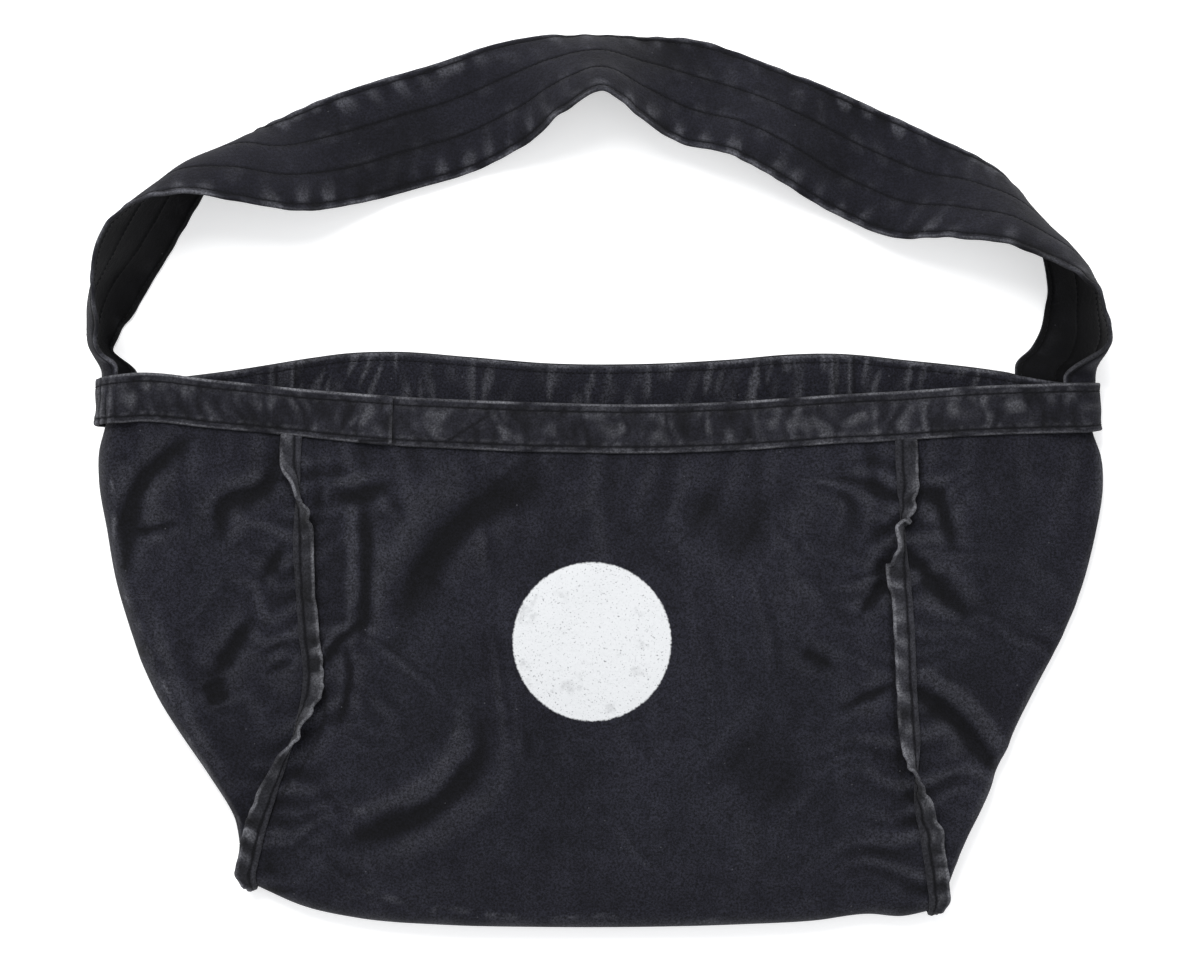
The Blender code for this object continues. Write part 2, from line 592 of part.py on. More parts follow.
def free_section(number, tangent, share):
    """The strap's section at one row of its table: an arc of the strap's own width that rises off the floor."""
    read = {name: float(STRAP_SECTIONS.at(name, number)) for name in STRAP_SECTIONS.columns}
    heading, lean, curl = (math.radians(read[name]) for name in ("heading", "lean", "curl"))
    far = np.array([read["far_x"] * BAG_WIDTH, read["far_y"] * STRAP_RISE, STRAP_THICKNESS / 2])
    way = np.array([math.cos(heading) * math.cos(lean), math.sin(heading) * math.cos(lean), math.sin(lean)])
    out = unit(np.cross(way, tangent))
    width = STRAP_WIDTH * read["gather"]
    turned = curl * (share - 0.5)
    along = width * (np.sin(turned) + math.sin(curl / 2)) / curl
    aside = width * (np.cos(turned) - math.cos(curl / 2)) / curl
    return far + along[:, None] * way + aside[:, None] * out


def strap_rows():
    """The strap's sections in order, each from its far edge to its near one."""
    keys = STRAP_SECTIONS.keys
    edge = np.stack([STRAP_SECTIONS.at("far_x", keys) * BAG_WIDTH, STRAP_SECTIONS.at("far_y", keys) * STRAP_RISE], 1)
    tangents = unit(np.gradient(edge, axis=0))
    downs = (STRAP_TUCK, STRAP_TUCK / 2, -STRAP_LIP, -2 * STRAP_LIP)
    sections = [tucked_section(-1, STRAP_COLUMNS, down) for down in downs]
    sections += [
        free_section(number, np.array([*tangent, 0.0]), STRAP_COLUMNS) for number, tangent in zip(keys, tangents)
    ]
    sections += [tucked_section(1, STRAP_COLUMNS, down) for down in downs[::-1]]
    sections = np.array(sections)
    middle = sections.mean(axis=1)
    run = np.concatenate([[0], np.cumsum(np.linalg.norm(np.diff(middle, axis=0), axis=1))])
    slopes = np.gradient(sections, run, axis=0)
    at = np.concatenate([run[:2], np.linspace(run[2], run[-3], STRAP_STATIONS + 1), run[-2:]])
    low = np.clip(np.searchsorted(run, at, side="right") - 1, 0, len(run) - 2)
    span = (run[low + 1] - run[low])[:, None, None]
    t = (at - run[low])[:, None, None] / span
    rows = (
        sections[low] * (1 + 2 * t) * (1 - t) ** 2
        + slopes[low] * span * t * (1 - t) ** 2
        + sections[low + 1] * t * t * (3 - 2 * t)
        - slopes[low + 1] * span * t * t * (1 - t)
    )
    rows[..., 2] = np.maximum(rows[..., 2], STRAP_THICKNESS / 2)
    return rows


def shoulder_strap(material, bag):
    return sheet("shoulder_strap", strap_rows(), STRAP_THICKNESS, 0, material, bag)


def centre_on_floor(bag):
    """Moves the bag so that the middle of its box stands over the origin and its lowest point is on the floor."""
    bpy.context.view_layer.update()
    graph = bpy.context.evaluated_depsgraph_get()
    low, high = np.full(3, np.inf), np.full(3, -np.inf)
    for piece in bag["collection"].objects:
        if piece.type == "MESH":
            shape = piece.evaluated_get(graph).to_mesh()
            corners = np.array([vertex.co for vertex in shape.vertices])
            low, high = np.minimum(low, corners.min(0)), np.maximum(high, corners.max(0))
            piece.evaluated_get(graph).to_mesh_clear()
    bag["origin"].location = (-(low[0] + high[0]) / 2, -(low[1] + high[1]) / 2, -low[2])


def build():
    for leftover in list(bpy.data.objects):
        bpy.data.objects.remove(leftover, do_unlink=True)
    collection = bpy.data.collections.new("newspaper_delivery_bag")
    bpy.context.scene.collection.children.link(collection)
    origin = bpy.data.objects.new("bag_origin", None)
    collection.objects.link(origin)
    bag = {"collection": collection, "origin": origin}
    canvas = cloth_material("washed_canvas", (0.020, 0.020, 0.026), 0.92)
    band_cloth = cloth_material("faded_band", (0.030, 0.030, 0.036), 0.88)
    strap_cloth = cloth_material("strap_canvas", (0.016, 0.016, 0.023), 0.90)
    main_panel(canvas, bag)
    for side in (-1, 1):
        gusset(side, canvas, bag)
        seam_welt(side, band_cloth, bag)
    rim_band(band_cloth, bag)
    shoulder_strap(strap_cloth, bag)
    centre_on_floor(bag)


build()
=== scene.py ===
import itertools
import math

import bpy
import numpy as np
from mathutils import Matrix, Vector


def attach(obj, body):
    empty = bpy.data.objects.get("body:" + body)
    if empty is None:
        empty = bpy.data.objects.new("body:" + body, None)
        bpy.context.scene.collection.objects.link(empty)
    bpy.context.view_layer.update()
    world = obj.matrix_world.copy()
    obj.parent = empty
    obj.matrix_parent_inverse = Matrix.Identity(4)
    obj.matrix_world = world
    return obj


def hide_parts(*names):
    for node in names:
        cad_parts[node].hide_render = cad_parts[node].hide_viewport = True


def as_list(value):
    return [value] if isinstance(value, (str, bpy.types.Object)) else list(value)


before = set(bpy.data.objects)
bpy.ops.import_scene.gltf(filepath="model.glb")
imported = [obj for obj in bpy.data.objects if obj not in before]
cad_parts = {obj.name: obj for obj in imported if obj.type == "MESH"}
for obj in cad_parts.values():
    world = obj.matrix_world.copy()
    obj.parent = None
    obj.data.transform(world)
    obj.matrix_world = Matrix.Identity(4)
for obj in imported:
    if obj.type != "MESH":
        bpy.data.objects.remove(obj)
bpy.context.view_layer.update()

# Bag coordinates: x from the middle, y up from the line of the rim, z up from the floor, in metres.
# Pixels are those of the 1200 x 960 photograph.
bag = {
    "width": 0.605,
    "height": 0.324,
    "depth": 0.036,
    "cloth": 0.0012,
    "gap": 0.0003,
    "shift": (0.0018, 0.05455, 0.0),  # from bag coordinates to the frame's
    "pixel": 0.0006,  # metres a pixel
    "middlePixel": (600, 388),
}


# small helpers

def lerp(a, b, t):
    return a + (b - a) * t


def fade(value, near, far):
    t = clamp((value - near) / (far - near))
    return 1 - t * t * (3 - 2 * t)


def unit(vectors):
    return vectors / np.maximum(np.linalg.norm(vectors, axis=-1, keepdims=True), 1e-12)


def clamp(values):
    return np.clip(values, 0, 1)


def bell(distance, reach, sharpness=2):
    # 1 in the middle and down to nothing beyond the reach
    return np.exp(-((distance / reach) ** sharpness))


def hermite(start, end, rise, fall, t):
    # a curve between two values that keeps the slopes at both
    curve = start * (1 + 2 * t) * (1 - t) ** 2 + rise * t * (1 - t) ** 2
    return curve + end * t * t * (3 - 2 * t) - fall * t * t * (1 - t)


def xyz(x, y, z):
    return np.stack(np.broadcast_arrays(x, y, z), axis=-1).astype(float)


def runAlong(points):
    # distance from the first point of a path to each of them
    steps = np.linalg.norm(np.diff(points, axis=0), axis=1)
    return np.concatenate([[0], np.cumsum(steps)])


def facingOf(rows):
    # the way out of a sheet at each of its points
    return unit(np.cross(np.gradient(rows, axis=1), np.gradient(rows, axis=0)))


def liftTo(rows, height):
    # nothing of a sheet lies below a height
    rows[..., 2] = np.maximum(rows[..., 2], height)


def fromPhoto(spots):
    spots = np.asarray(spots, float)
    x = (spots[..., 0] - bag["middlePixel"][0]) * bag["pixel"]
    return x, (bag["middlePixel"][1] - spots[..., 1]) * bag["pixel"]


def patches(x, y, cell, seed, waves=20):
    # smooth noise from -1 to 1 whose patches are about a cell wide, from waves in random directions
    draw = np.random.default_rng(seed)
    turns, shifts = draw.uniform(0, 2 * np.pi, (2, waves))
    pitches = 2 * cell * draw.uniform(0.75, 1.6, waves)
    x, y, total = np.asarray(x), np.asarray(y), 0.0
    for turn, shift, pitch in zip(turns, shifts, pitches):
        total = total + np.cos(2 * np.pi * (x * math.cos(turn) + y * math.sin(turn)) / pitch + shift)
    return np.clip(total * 0.5 * math.sqrt(2 / waves), -1, 1)


def ripples(run, wave, seed, jitter=0.35):
    # an uneven wave along a run, from -1 to 1
    run = np.asarray(run, float)
    phase = run / wave + jitter * 2 * patches(run, 0, wave * 2.3, seed)
    size = 0.62 + 0.38 * patches(run, 0, wave * 3.1, seed + 1)
    return np.sin(2 * np.pi * phase) * size


def ruled(width, spacing, lines):
    # places across a strip: evenly spaced, and closer together at both edges and at some lines
    places = np.linspace(0, width, int(width / spacing) + 1)
    besideLine, besideEdge = (-0.0011, -0.0005, 0.0, 0.0005, 0.0011), (0.0004, 0.0008, 0.0014)
    near = [at + step for at in lines for step in besideLine]
    near += [step for step in besideEdge] + [width - step for step in besideEdge]
    far = [place for place in places if min(abs(place - other) for other in near) > besideEdge[0]]
    return np.array(sorted(far + near))


class Columns:
    # named columns of a short table, read along smooth curves

    def __init__(self, names, rows):
        columns = np.array(rows, float).T
        self.keys = columns[0]
        self.columns = dict(zip(names.split(), columns))
        self.slopes = {name: np.gradient(column, self.keys) for name, column in self.columns.items()}

    def at(self, name, key):
        key = np.clip(key, self.keys[0], self.keys[-1])
        low = np.clip(np.searchsorted(self.keys, key, side="right") - 1, 0, len(self.keys) - 2)
        span = self.keys[low + 1] - self.keys[low]
        t = (key - self.keys[low]) / span
        start, end = self.columns[name][low], self.columns[name][low + 1]
        rise, fall = self.slopes[name][low] * span, self.slopes[name][low + 1] * span
        return hermite(start, end, rise, fall, t)


# The bag's skin: across the front, round the right gusset, across the back, round the left gusset

band = {
    "height": 0.029,
    "thickness": 0.0020,
    "lap": 0.014,
    "lapEnd": 0.151,  # share of the front's width
    "slope": 0.030,
    "over": 0.0010,  # how far its fold stands above the cloth's own edge
    "columns": 800,
    "spacing": 0.0017,
    "stitchEdge": 0.0034,
    "stitchesInside": (1.45, 3.55, 500),  # from and to round the bag, and in how many steps
    "puckers": ((0.0006, 0.0040, 82), (0.0007, 0.0085, 84)),  # rise, patch size, seed
    "grooves": (0.00035, 0.0010),  # depth, reach
    "proud": 0.00012,
    "edgeWear": (0.9, 0.0006),  # strength, reach
    "ridgeWear": (0.30, 0.0006),  # strength, height of a ridge that is worn most
    "stitchWear": (0.2, 0.0016, 0.0007),  # strength, distance aside, reach
    "dipShade": (0.75, 0.0008),  # strength, depth of a dip that is darkest
    # gathers at its left end, between two places in pixels
    "ribs": {"from": (132, 400), "to": (112, 400), "wave": 0.0042, "rise": 0.0009, "wear": 0.45},
    "threads": [[(445, 444), (487, 417)], [(362, 441), (390, 441)]],  # paths in pixels
    "threadReach": (0.0010, 0.0012),  # of a thread's dark line, of the clean cloth along it
    "lapWear": (0.4, -0.0006, 0.0007),  # strength, distance from its end, reach
    "lapShade": (1.0, 0.0012, 0.0012),
}
welts = {
    "width": 0.011,
    "thickness": 0.0020,
    "clearance": 0.0008,
    "ripple": 0.0016,
    "wave": 0.0135,
    "corner": 0.6,
    "slope": 0.022,
    "shoulder": 0.004,
    "steps": 400,
    "shares": (0, 0.1, 0.18, 0.24, 0.3, 0.36, 0.44, 0.54, 0.64, 0.74, 0.83, 0.9, 0.95, 1),  # across its width
    "stitchAt": 0.3,
    "stitchReach": 0.08,
    "cornerSteps": 26,
    "cornerRipple": 0.0009,
    "dents": (0.0009, 0.0062, 97),  # rise, patch size, seed
    "inside": 0.3,  # how much painted shade its back face gets
    "edgeWear": (0.8, 0.06),  # strength, reach as a share of its width
    "wear": (0.10, 0.6, 0.7),  # all over, on its ridges; shade in its dents
    "cornerStart": 0.86,  # depth below which the back is lifted over the corner's welt
    "bearing": 0.1,  # share round a gusset at which a welt takes its direction from the cloth
}
strap = {
    "width": 0.069,
    "thickness": 0.0024,
    "rise": 0.211,
    "tuck": 0.018,
    "lip": 0.003,
    "ease": 0.0008,
    "centres": {-1: 0.003, 1: 0.014},
    "gathers": {-1: 0.66, 1: 1.0},  # share of its width that each tucked end keeps
    "slope": (0.002, 0.016),
    "stations": 640,
    "spacing": 0.0027,
    "stitchShares": (0.045, 0.35, 0.67, 0.955),  # across its width
    "stiff": (0.02, 0.05),  # distance from a sewn end where its creases start and are whole
    "swells": ((0.0013, 0.055, 101), (0.0008, 0.020, 102)),  # rise, patch size, seed
    "pucker": (0.00055, 0.0050, 104),
    "puckerReach": (0.011, 0.004),  # from an edge, from a row of stitches
    "edgeSwing": (0.0005, 0.03, 105),
    "grooves": (0.0004, 0.0010),  # depth, reach
    "edgeWear": (0.85, 0.0006),  # strength, reach
    "ridgeWear": (0.34, 0.0004),  # strength, height of a ridge that is worn most
    "dipShade": (0.55, 0.0005, 0.0016),  # strength, depth of a pucker and of a swell that are darkest
}
gussets = {
    "foldStart": 0.42,
    "foldEnd": 0.58,
    "dip": 0.09,
    "bulge": 0.004,
    "mostFold": 0.6,  # share of its width that the rounded fold may take
    "footStart": 0.89,
    "footFade": (0.88, 0.99),
    "flatSteps": 56,
    "foldSteps": 22,
    "rows": 128,
    "ridge": (0.35, 0.455, 0.02),  # wear, place round the gusset, reach
}

sides = Columns("depth leftSide leftSeam rightSeam rightSide leftEdge rightEdge leftBulge rightBulge", [
    (0.0, -0.4870, -0.294, 0.292, 0.4870, 1.02, 0.45, 0.34, 0.14),
    (0.085, -0.4885, -0.295, 0.293, 0.4885, 1.00, 0.43, 0.33, 0.14),
    (0.14, -0.4955, -0.296, 0.294, 0.4965, 0.98, 0.42, 0.33, 0.14),
    (0.2, -0.496, -0.297, 0.296, 0.497, 0.94, 0.40, 0.32, 0.15),
    (0.3, -0.489, -0.301, 0.301, 0.490, 0.88, 0.38, 0.32, 0.16),
    (0.4, -0.481, -0.299, 0.306, 0.478, 0.82, 0.37, 0.32, 0.16),
    (0.5, -0.467, -0.295, 0.309, 0.458, 0.76, 0.38, 0.32, 0.17),
    (0.6, -0.449, -0.291, 0.311, 0.432, 0.71, 0.41, 0.31, 0.18),
    (0.7, -0.422, -0.300, 0.314, 0.406, 0.67, 0.45, 0.27, 0.18),
    (0.8, -0.390, -0.315, 0.311, 0.384, 0.63, 0.50, 0.20, 0.17),
    (0.9, -0.362, -0.330, 0.319, 0.360, 0.59, 0.54, 0.14, 0.14),
    (1.0, -0.359, -0.342, 0.327, 0.344, 0.55, 0.58, 0.12, 0.12),
])
crown = Columns("depth left middle right", [
    (0.00, 0.80, 0.62, 0.50),
    (0.15, 0.78, 0.78, 0.56),
    (0.40, 0.73, 0.95, 0.64),
    (0.65, 0.67, 1.00, 0.68),
    (0.85, 0.61, 0.86, 0.65),
    (1.00, 0.55, 0.64, 0.58),
])
lines = Columns("across frontRim backRim bottom", [
    (0.00, 0.009, -0.050, 0.922),
    (0.07, 0.015, -0.060, 0.960),
    (0.15, 0.022, -0.063, 0.982),
    (0.28, 0.029, -0.053, 0.995),
    (0.42, 0.034, -0.041, 0.999),
    (0.57, 0.037, -0.040, 0.999),
    (0.72, 0.032, -0.048, 0.994),
    (0.83, 0.024, -0.058, 0.987),
    (0.91, 0.018, -0.059, 0.975),
    (0.96, 0.015, -0.055, 0.979),
    (1.00, 0.013, -0.050, 0.969),
])
gussetRim = Columns("around left right", [
    (0.00, 0.009, 0.013),
    (0.20, -0.007, 0.002),
    (0.40, -0.020, -0.003),
    (0.50, -0.008, -0.004),
    (0.60, -0.010, -0.006),
    (0.80, -0.026, -0.032),
    (1.00, -0.050, -0.050),
])
leans = Columns("depth left right", [
    (0.00, 172, 172),
    (0.14, 168, 172),
    (0.21, 90, 160),
    (0.28, 14, 70),
    (0.42, 8, 10),
    (0.60, 14, 8),
    (0.70, 78, 20),
    (0.78, 122, 100),
    (0.88, 160, 165),
    (1.00, 176, 176),
])


def sideName(side):
    return "right" if side > 0 else "left"


def shareOf(side):
    # a side's seam as a share of the way across
    return (side + 1) / 2


def seamX(side, depth):
    return bag["width"] * sides.at(sideName(side) + "Seam", depth)


def sideX(side, depth):
    return bag["width"] * sides.at(sideName(side) + "Side", depth)


def frontWidth(depth=0.0):
    return seamX(1, depth) - seamX(-1, depth)


def bulgeOf(side, depth, width):
    # how far a gusset's rounded fold reaches in from its edge
    return np.minimum(bag["depth"] * sides.at(sideName(side) + "Bulge", depth), gussets["mostFold"] * width)


def seamLift():
    return bag["gap"] + welts["thickness"]


def turnRadius(across):
    middle = crown.at("middle", 1.0) - (crown.at("left", 1.0) + crown.at("right", 1.0)) / 2
    thickness = lerp(crown.at("left", 1.0), crown.at("right", 1.0), across) + middle * np.sin(np.pi * across)
    return (thickness * bag["depth"] - seamLift()) / 2


def bottomLine(across):
    return bag["height"] * lines.at("bottom", across) - turnRadius(across)


def panelY(rim, across, depth):
    return -lerp(bag["height"] * lines.at(rim, across), bottomLine(across), depth)


def frontHeight(across, depth):
    left, middle, right = (crown.at(name, depth) for name in ("left", "middle", "right"))
    swell = (middle - (left + right) / 2) * np.sin(np.pi * across)
    return bag["depth"] * (lerp(left, right, across) + swell)


def strapRoom():
    # how much further the band stands off where a strap's end lies under it
    return strap["thickness"] + 2 * strap["ease"] - bag["gap"]


def rimLift(tuck):
    return bag["gap"] + band["thickness"] + tuck * strapRoom()


def backHeight(seamDistance, near, depth, tuck):
    overWelt = seamLift() * fade(seamDistance, near, near + welts["slope"])
    below = depth * bag["height"]
    overRim = rimLift(tuck) * fade(below, band["height"] + bag["gap"], band["height"] + band["slope"])
    corner = seamLift() * (1 - fade(depth, welts["cornerStart"], 1.0))
    return np.maximum(np.maximum(overWelt, overRim), corner)


def frontPoint(across, depth):
    x = lerp(seamX(-1, depth), seamX(1, depth), across)
    return xyz(x, panelY("frontRim", across, depth), frontHeight(across, depth))


def backPoint(across, depth):
    left, right = seamX(-1, depth), seamX(1, depth)
    distance = np.minimum(across, 1 - across) * (right - left)
    z = backHeight(distance, bag["gap"], depth, 0.0)
    return xyz(lerp(left, right, across), panelY("backRim", across, depth), z)


def gussetPoint(side, around, depth, tucked=True, outset=0.0):
    name = sideName(side)
    start, end = gussets["foldStart"], gussets["foldEnd"]
    tuck = tuckShare(side, around) if tucked else 0.0
    seam, edgeX = seamX(side, depth) + side * outset, sideX(side, depth)
    bulge = bulgeOf(side, depth, np.abs(edgeX - seam))
    foldX = edgeX - side * bulge
    toFold = clamp(around / start)
    fromFold = clamp((1 - around) / (1 - end))
    turn = np.pi * clamp((around - start) / (end - start))
    onFront, onBack = around < start, around > end
    x = np.where(onFront, lerp(seam, foldX, toFold), np.where(onBack, lerp(seam, foldX, fromFold), foldX))
    x = x + side * bulge * np.sin(turn)
    across = shareOf(side)
    rim = bag["height"] * gussetRim.at(name, around)
    y = -lerp(rim, bottomLine(across), depth)
    edge = bag["depth"] * sides.at(name + "Edge", depth)
    dip = gussets["dip"] * bag["depth"] * np.sin(np.pi * toFold) * fade(depth, 0.3, 1.0)
    front = lerp(frontHeight(across, depth), edge, toFold) - dip
    back = backHeight(fromFold * np.abs(foldX - seam), welts["width"] + welts["shoulder"], depth, tuck)
    turned = (edge + back) / 2 + (edge - back) / 2 * np.cos(turn)
    return xyz(x, y, np.where(onFront, front, np.where(onBack, back, turned)))


def tuckRuler(side):
    # distances round a gusset's rim from the middle of its side fold, positive towards the back
    around = np.linspace(0, 1, 801)
    run = runAlong(gussetPoint(side, around, 0.0, tucked=False))
    return around, run - np.interp((gussets["foldStart"] + gussets["foldEnd"]) / 2, around, run)


def tuckShare(side, around):
    rulers, run = tuckRulers[side]
    beyond = np.abs(np.interp(around, rulers, run) - strap["centres"][side])
    beyond = beyond - strap["width"] * strap["gathers"][side] / 2
    return fade(beyond, *strap["slope"])


tuckRulers = {side: tuckRuler(side) for side in (-1, 1)}


def skinPoint(loop, depth):
    loop, depth = np.broadcast_arrays(np.asarray(loop, float) % 4, np.asarray(depth, float))
    stretches = (
        frontPoint,
        lambda share, down: gussetPoint(1, share, down),
        lambda share, down: backPoint(1 - share, down),
        lambda share, down: gussetPoint(-1, 1 - share, down),
    )
    found = np.zeros(loop.shape + (3,))
    for number, stretch in enumerate(stretches):
        inside = np.floor(loop).astype(int) == number
        if inside.any():
            found[inside] = stretch(loop[inside] - number, depth[inside])
    return found


def normalOf(surface, loop, depth, step=0.003):
    loop, depth = np.broadcast_arrays(np.asarray(loop, float), np.asarray(depth, float))
    around = surface(loop + step, depth) - surface(loop - step, depth)
    down = surface(loop, depth + step) - surface(loop, depth - step)
    return unit(np.cross(down, around))


# Relief of the cloth, kept as maps over x and y with one value a millimetre

folds = [
    # rise in millimetres, half width in pixels, sharpness, path in pixels
    # on the front
    (-4.6, 26, 2.0, [(545, 452), (500, 490), (453, 534), (421, 582), (398, 628)]),
    (2.0, 26, 2.0, [(480, 446), (425, 500), (392, 556), (374, 612)]),
    (-3.0, 15, 1.8, [(482, 728), (475, 765), (430, 809), (361, 836), (343, 832)]),
    (2.0, 17, 2.0, [(466, 706), (455, 750), (414, 788), (356, 812)]),
    (1.0, 20, 2.0, [(505, 770), (455, 826), (375, 862)]),
    (-1.6, 9, 1.8, [(337, 498), (352, 497), (372, 493), (390, 484)]),
    (1.5, 7, 2.0, [(318, 500), (333, 483), (352, 481), (372, 474)]),
    (-1.5, 7, 1.6, [(318, 512), (322, 494), (338, 476)]),
    (-2.0, 9, 1.8, [(364, 506), (368, 545), (367, 590), (362, 640)]),
    (1.4, 8, 2.0, [(352, 516), (354, 560), (353, 610)]),
    (-1.6, 6, 1.5, [(366, 622), (344, 636), (324, 662)]),
    (1.0, 4, 1.6, [(357, 618), (336, 634), (322, 652)]),
    (-1.4, 5, 1.3, [(347, 647), (351, 679), (341, 722)]),
    (-2.4, 11, 2.0, [(886, 556), (878, 594)]),
    (-1.8, 6, 1.3, [(886, 580), (860, 612)]),
    (-1.5, 9, 1.6, [(798, 648), (832, 666)]),
    (-1.8, 6, 1.3, [(890, 684), (843, 706)]),
    (-2.6, 30, 2.0, [(678, 498), (772, 548)]),
    (-2.4, 36, 2.0, [(716, 742), (796, 804)]),
    (1.9, 28, 2.0, [(826, 462), (792, 556), (802, 640)]),
    (1.6, 24, 2.0, [(566, 470), (600, 540), (560, 610)]),
    # on the gussets
    (-4.4, 13, 1.5, [(196, 438), (171, 454), (138, 496), (128, 566)]),
    (-3.8, 12, 1.6, [(276, 468), (262, 490), (228, 504), (222, 532)]),
    (-1.6, 5, 1.3, [(138, 532), (178, 524)]),
    (-1.9, 7, 1.4, [(284, 548), (266, 576)]),
    (-3.0, 11, 1.6, [(250, 622), (219, 672)]),
    (-2.8, 12, 2.0, [(212, 678), (223, 704)]),
    (-1.4, 4, 1.3, [(293, 640), (268, 650)]),
    (-1.4, 4, 1.3, [(294, 660), (272, 668)]),
    (2.2, 16, 2.0, [(150, 600), (178, 690), (226, 780)]),
    (-3.4, 9, 1.5, [(918, 482), (940, 505), (952, 544)]),
    (-3.8, 10, 1.5, [(908, 552), (940, 590), (964, 614)]),
    (-4.6, 11, 1.5, [(913, 688), (960, 725), (994, 770)]),
    (2.8, 11, 2.0, [(924, 672), (970, 706), (1006, 750)]),
]
wornLines = [
    # strength, half width in pixels, path in pixels
    (0.8, 1.8, [(114, 448), (117, 499), (117, 568), (135, 610), (156, 664), (171, 694), (189, 736),
                (219, 787), (240, 820)]),
    (0.4, 2.0, [(350, 895), (370, 890), (430, 910), (440, 905), (500, 915), (540, 918), (612, 915),
                (642, 921), (727, 921)]),
    (0.35, 2.5, [(356, 520), (354, 575), (350, 622)]),
    (0.30, 4.0, [(462, 712), (452, 750), (412, 786), (358, 810)]),
    (0.30, 3.0, [(926, 676), (972, 710), (1006, 752)]),
    (0.25, 3.0, [(1092, 560), (1080, 600), (1060, 650), (1030, 712), (1000, 770), (972, 815)]),
]
relief = {
    "cell": 0.001,
    "low": (-0.34, -0.36),
    "size": (680, 420),
    "swells": ((0.085, 0.0020, 11), (0.038, 0.0006, 12), (0.014, 0.00014, 13)),  # patch size, rise, seed
    "wrinkles": {
        "count": 46, "seed": 20, "low": (-0.29, -0.32), "high": (0.29, -0.03), "length": (0.016, 0.075),
        "reach": (0.0020, 0.0058), "rise": (0.00010, 0.00038), "bow": (-0.28, 0.28), "turn": (-0.35, 0.35),
    },
    "rimPucker": (0.0085, 0.0011, 0.020),  # patch size, rise, reach below the band
    "seamPucker": (0.0080, 0.0012, 0.013),
    "underBand": (0.62, 0.035),  # share of the relief that the band presses flat, reach
    "freeEdge": (0.0011, 0.0013),  # the shadow beside a welt: distance from its edge, reach
    "back": (0.0011, 0.045, 51),  # depth, patch size, seed
    "hollows": (0.014, 0.0032),  # reach of the broad and of the fine hollows that are darkened with painted shade
    "hollowDepths": (0.0014, 0.00025),  # a broad and a fine hollow this deep get the full painted shade
    "ridges": (0.00030, 0.17),  # a fine ridge this high is worn most, and by how much
    "brokenWear": (0.007, 41),  # patch size, seed
    "crookedWear": (0.008, 42),
}


def smoothed(path, steps=5):
    curve = Columns("number x y", [(number, *spot) for number, spot in enumerate(path)])
    fine = np.linspace(0, len(path) - 1, (len(path) - 1) * steps + 1)
    return fromPhoto(np.stack([curve.at("x", fine), curve.at("y", fine)], 1))


def window(x, y, margin):
    # the part of the maps round some places
    low, cell = relief["low"], relief["cell"]
    left, right = (int((value - low[0]) / cell) for value in (np.min(x) - margin, np.max(x) + margin))
    bottom, top = (int((value - low[1]) / cell) for value in (np.min(y) - margin, np.max(y) + margin))
    return slice(max(bottom, 0), max(top + 2, 0)), slice(max(left, 0), max(right + 2, 0))


def strokes(x, y, path, reach):
    # for the part of the maps round a path in pixels: distance from it, and how far along it, 0 to 1
    pathX, pathY = smoothed(path)
    lengths = np.hypot(np.diff(pathX), np.diff(pathY))
    run = np.concatenate([[0], np.cumsum(lengths)])
    part = window(pathX, pathY, 3.2 * reach)
    x, y = x[part], y[part]
    nearest, along = np.full(x.shape, np.inf), np.zeros(x.shape)
    for number, length in enumerate(lengths):
        wayX, wayY = pathX[number + 1] - pathX[number], pathY[number + 1] - pathY[number]
        t = clamp(((x - pathX[number]) * wayX + (y - pathY[number]) * wayY) / length ** 2)
        aside = np.hypot(x - pathX[number] - t * wayX, y - pathY[number] - t * wayY)
        closer = aside < nearest
        nearest = np.where(closer, aside, nearest)
        along = np.where(closer, (run[number] + t * length) / run[-1], along)
    return part, nearest, along


def wrinkles(x, y, asked):
    # shallow bent creases, each a valley with a ridge along one side of it
    draw = np.random.default_rng(asked["seed"])
    height = np.zeros(x.shape)
    for number in range(asked["count"]):
        middleX, middleY = draw.uniform(asked["low"], asked["high"])
        pull = 2.2 + 1.5 * float(patches(middleX, middleY, 0.13, asked["seed"] + 1))
        heading = pull + draw.uniform(*asked["turn"])
        length, reach, rise, bow = (draw.uniform(*asked[name]) for name in ("length", "reach", "rise", "bow"))
        part = window(middleX, middleY, length * 0.75 + 4 * reach)
        dx, dy = x[part] - middleX, y[part] - middleY
        along = dx * math.cos(heading) + dy * math.sin(heading)
        aside = dy * math.cos(heading) - dx * math.sin(heading) + bow * (along ** 2) / length
        aside = aside + 0.35 * reach * patches(dx, dy, 0.009, asked["seed"] + number)
        profile = -bell(aside, reach) + 0.8 * bell(aside - 1.6 * reach, 1.4 * reach)
        height[part] += rise * profile * bell(2 * along, length)
    return height


def soften(values, reach):
    # a map blurred by a bell curve of some reach in metres
    turns = [np.fft.fftfreq(size, relief["cell"]) for size in values.shape]
    spread = (turns[0][:, None] ** 2 + turns[1][None, :] ** 2) * (np.pi * reach) ** 2
    return np.real(np.fft.ifft2(np.fft.fft2(values) * np.exp(-2 * spread)))


def bandFoot(x):
    # height of the lower edge of the band on the front, over a place x
    loop = np.linspace(-0.42, 1.42, 240)
    foot = skinPoint(loop, band["height"] / bag["height"] + 0 * loop)
    order = np.argsort(foot[:, 0])
    return np.interp(x, foot[order, 0], foot[order, 1])


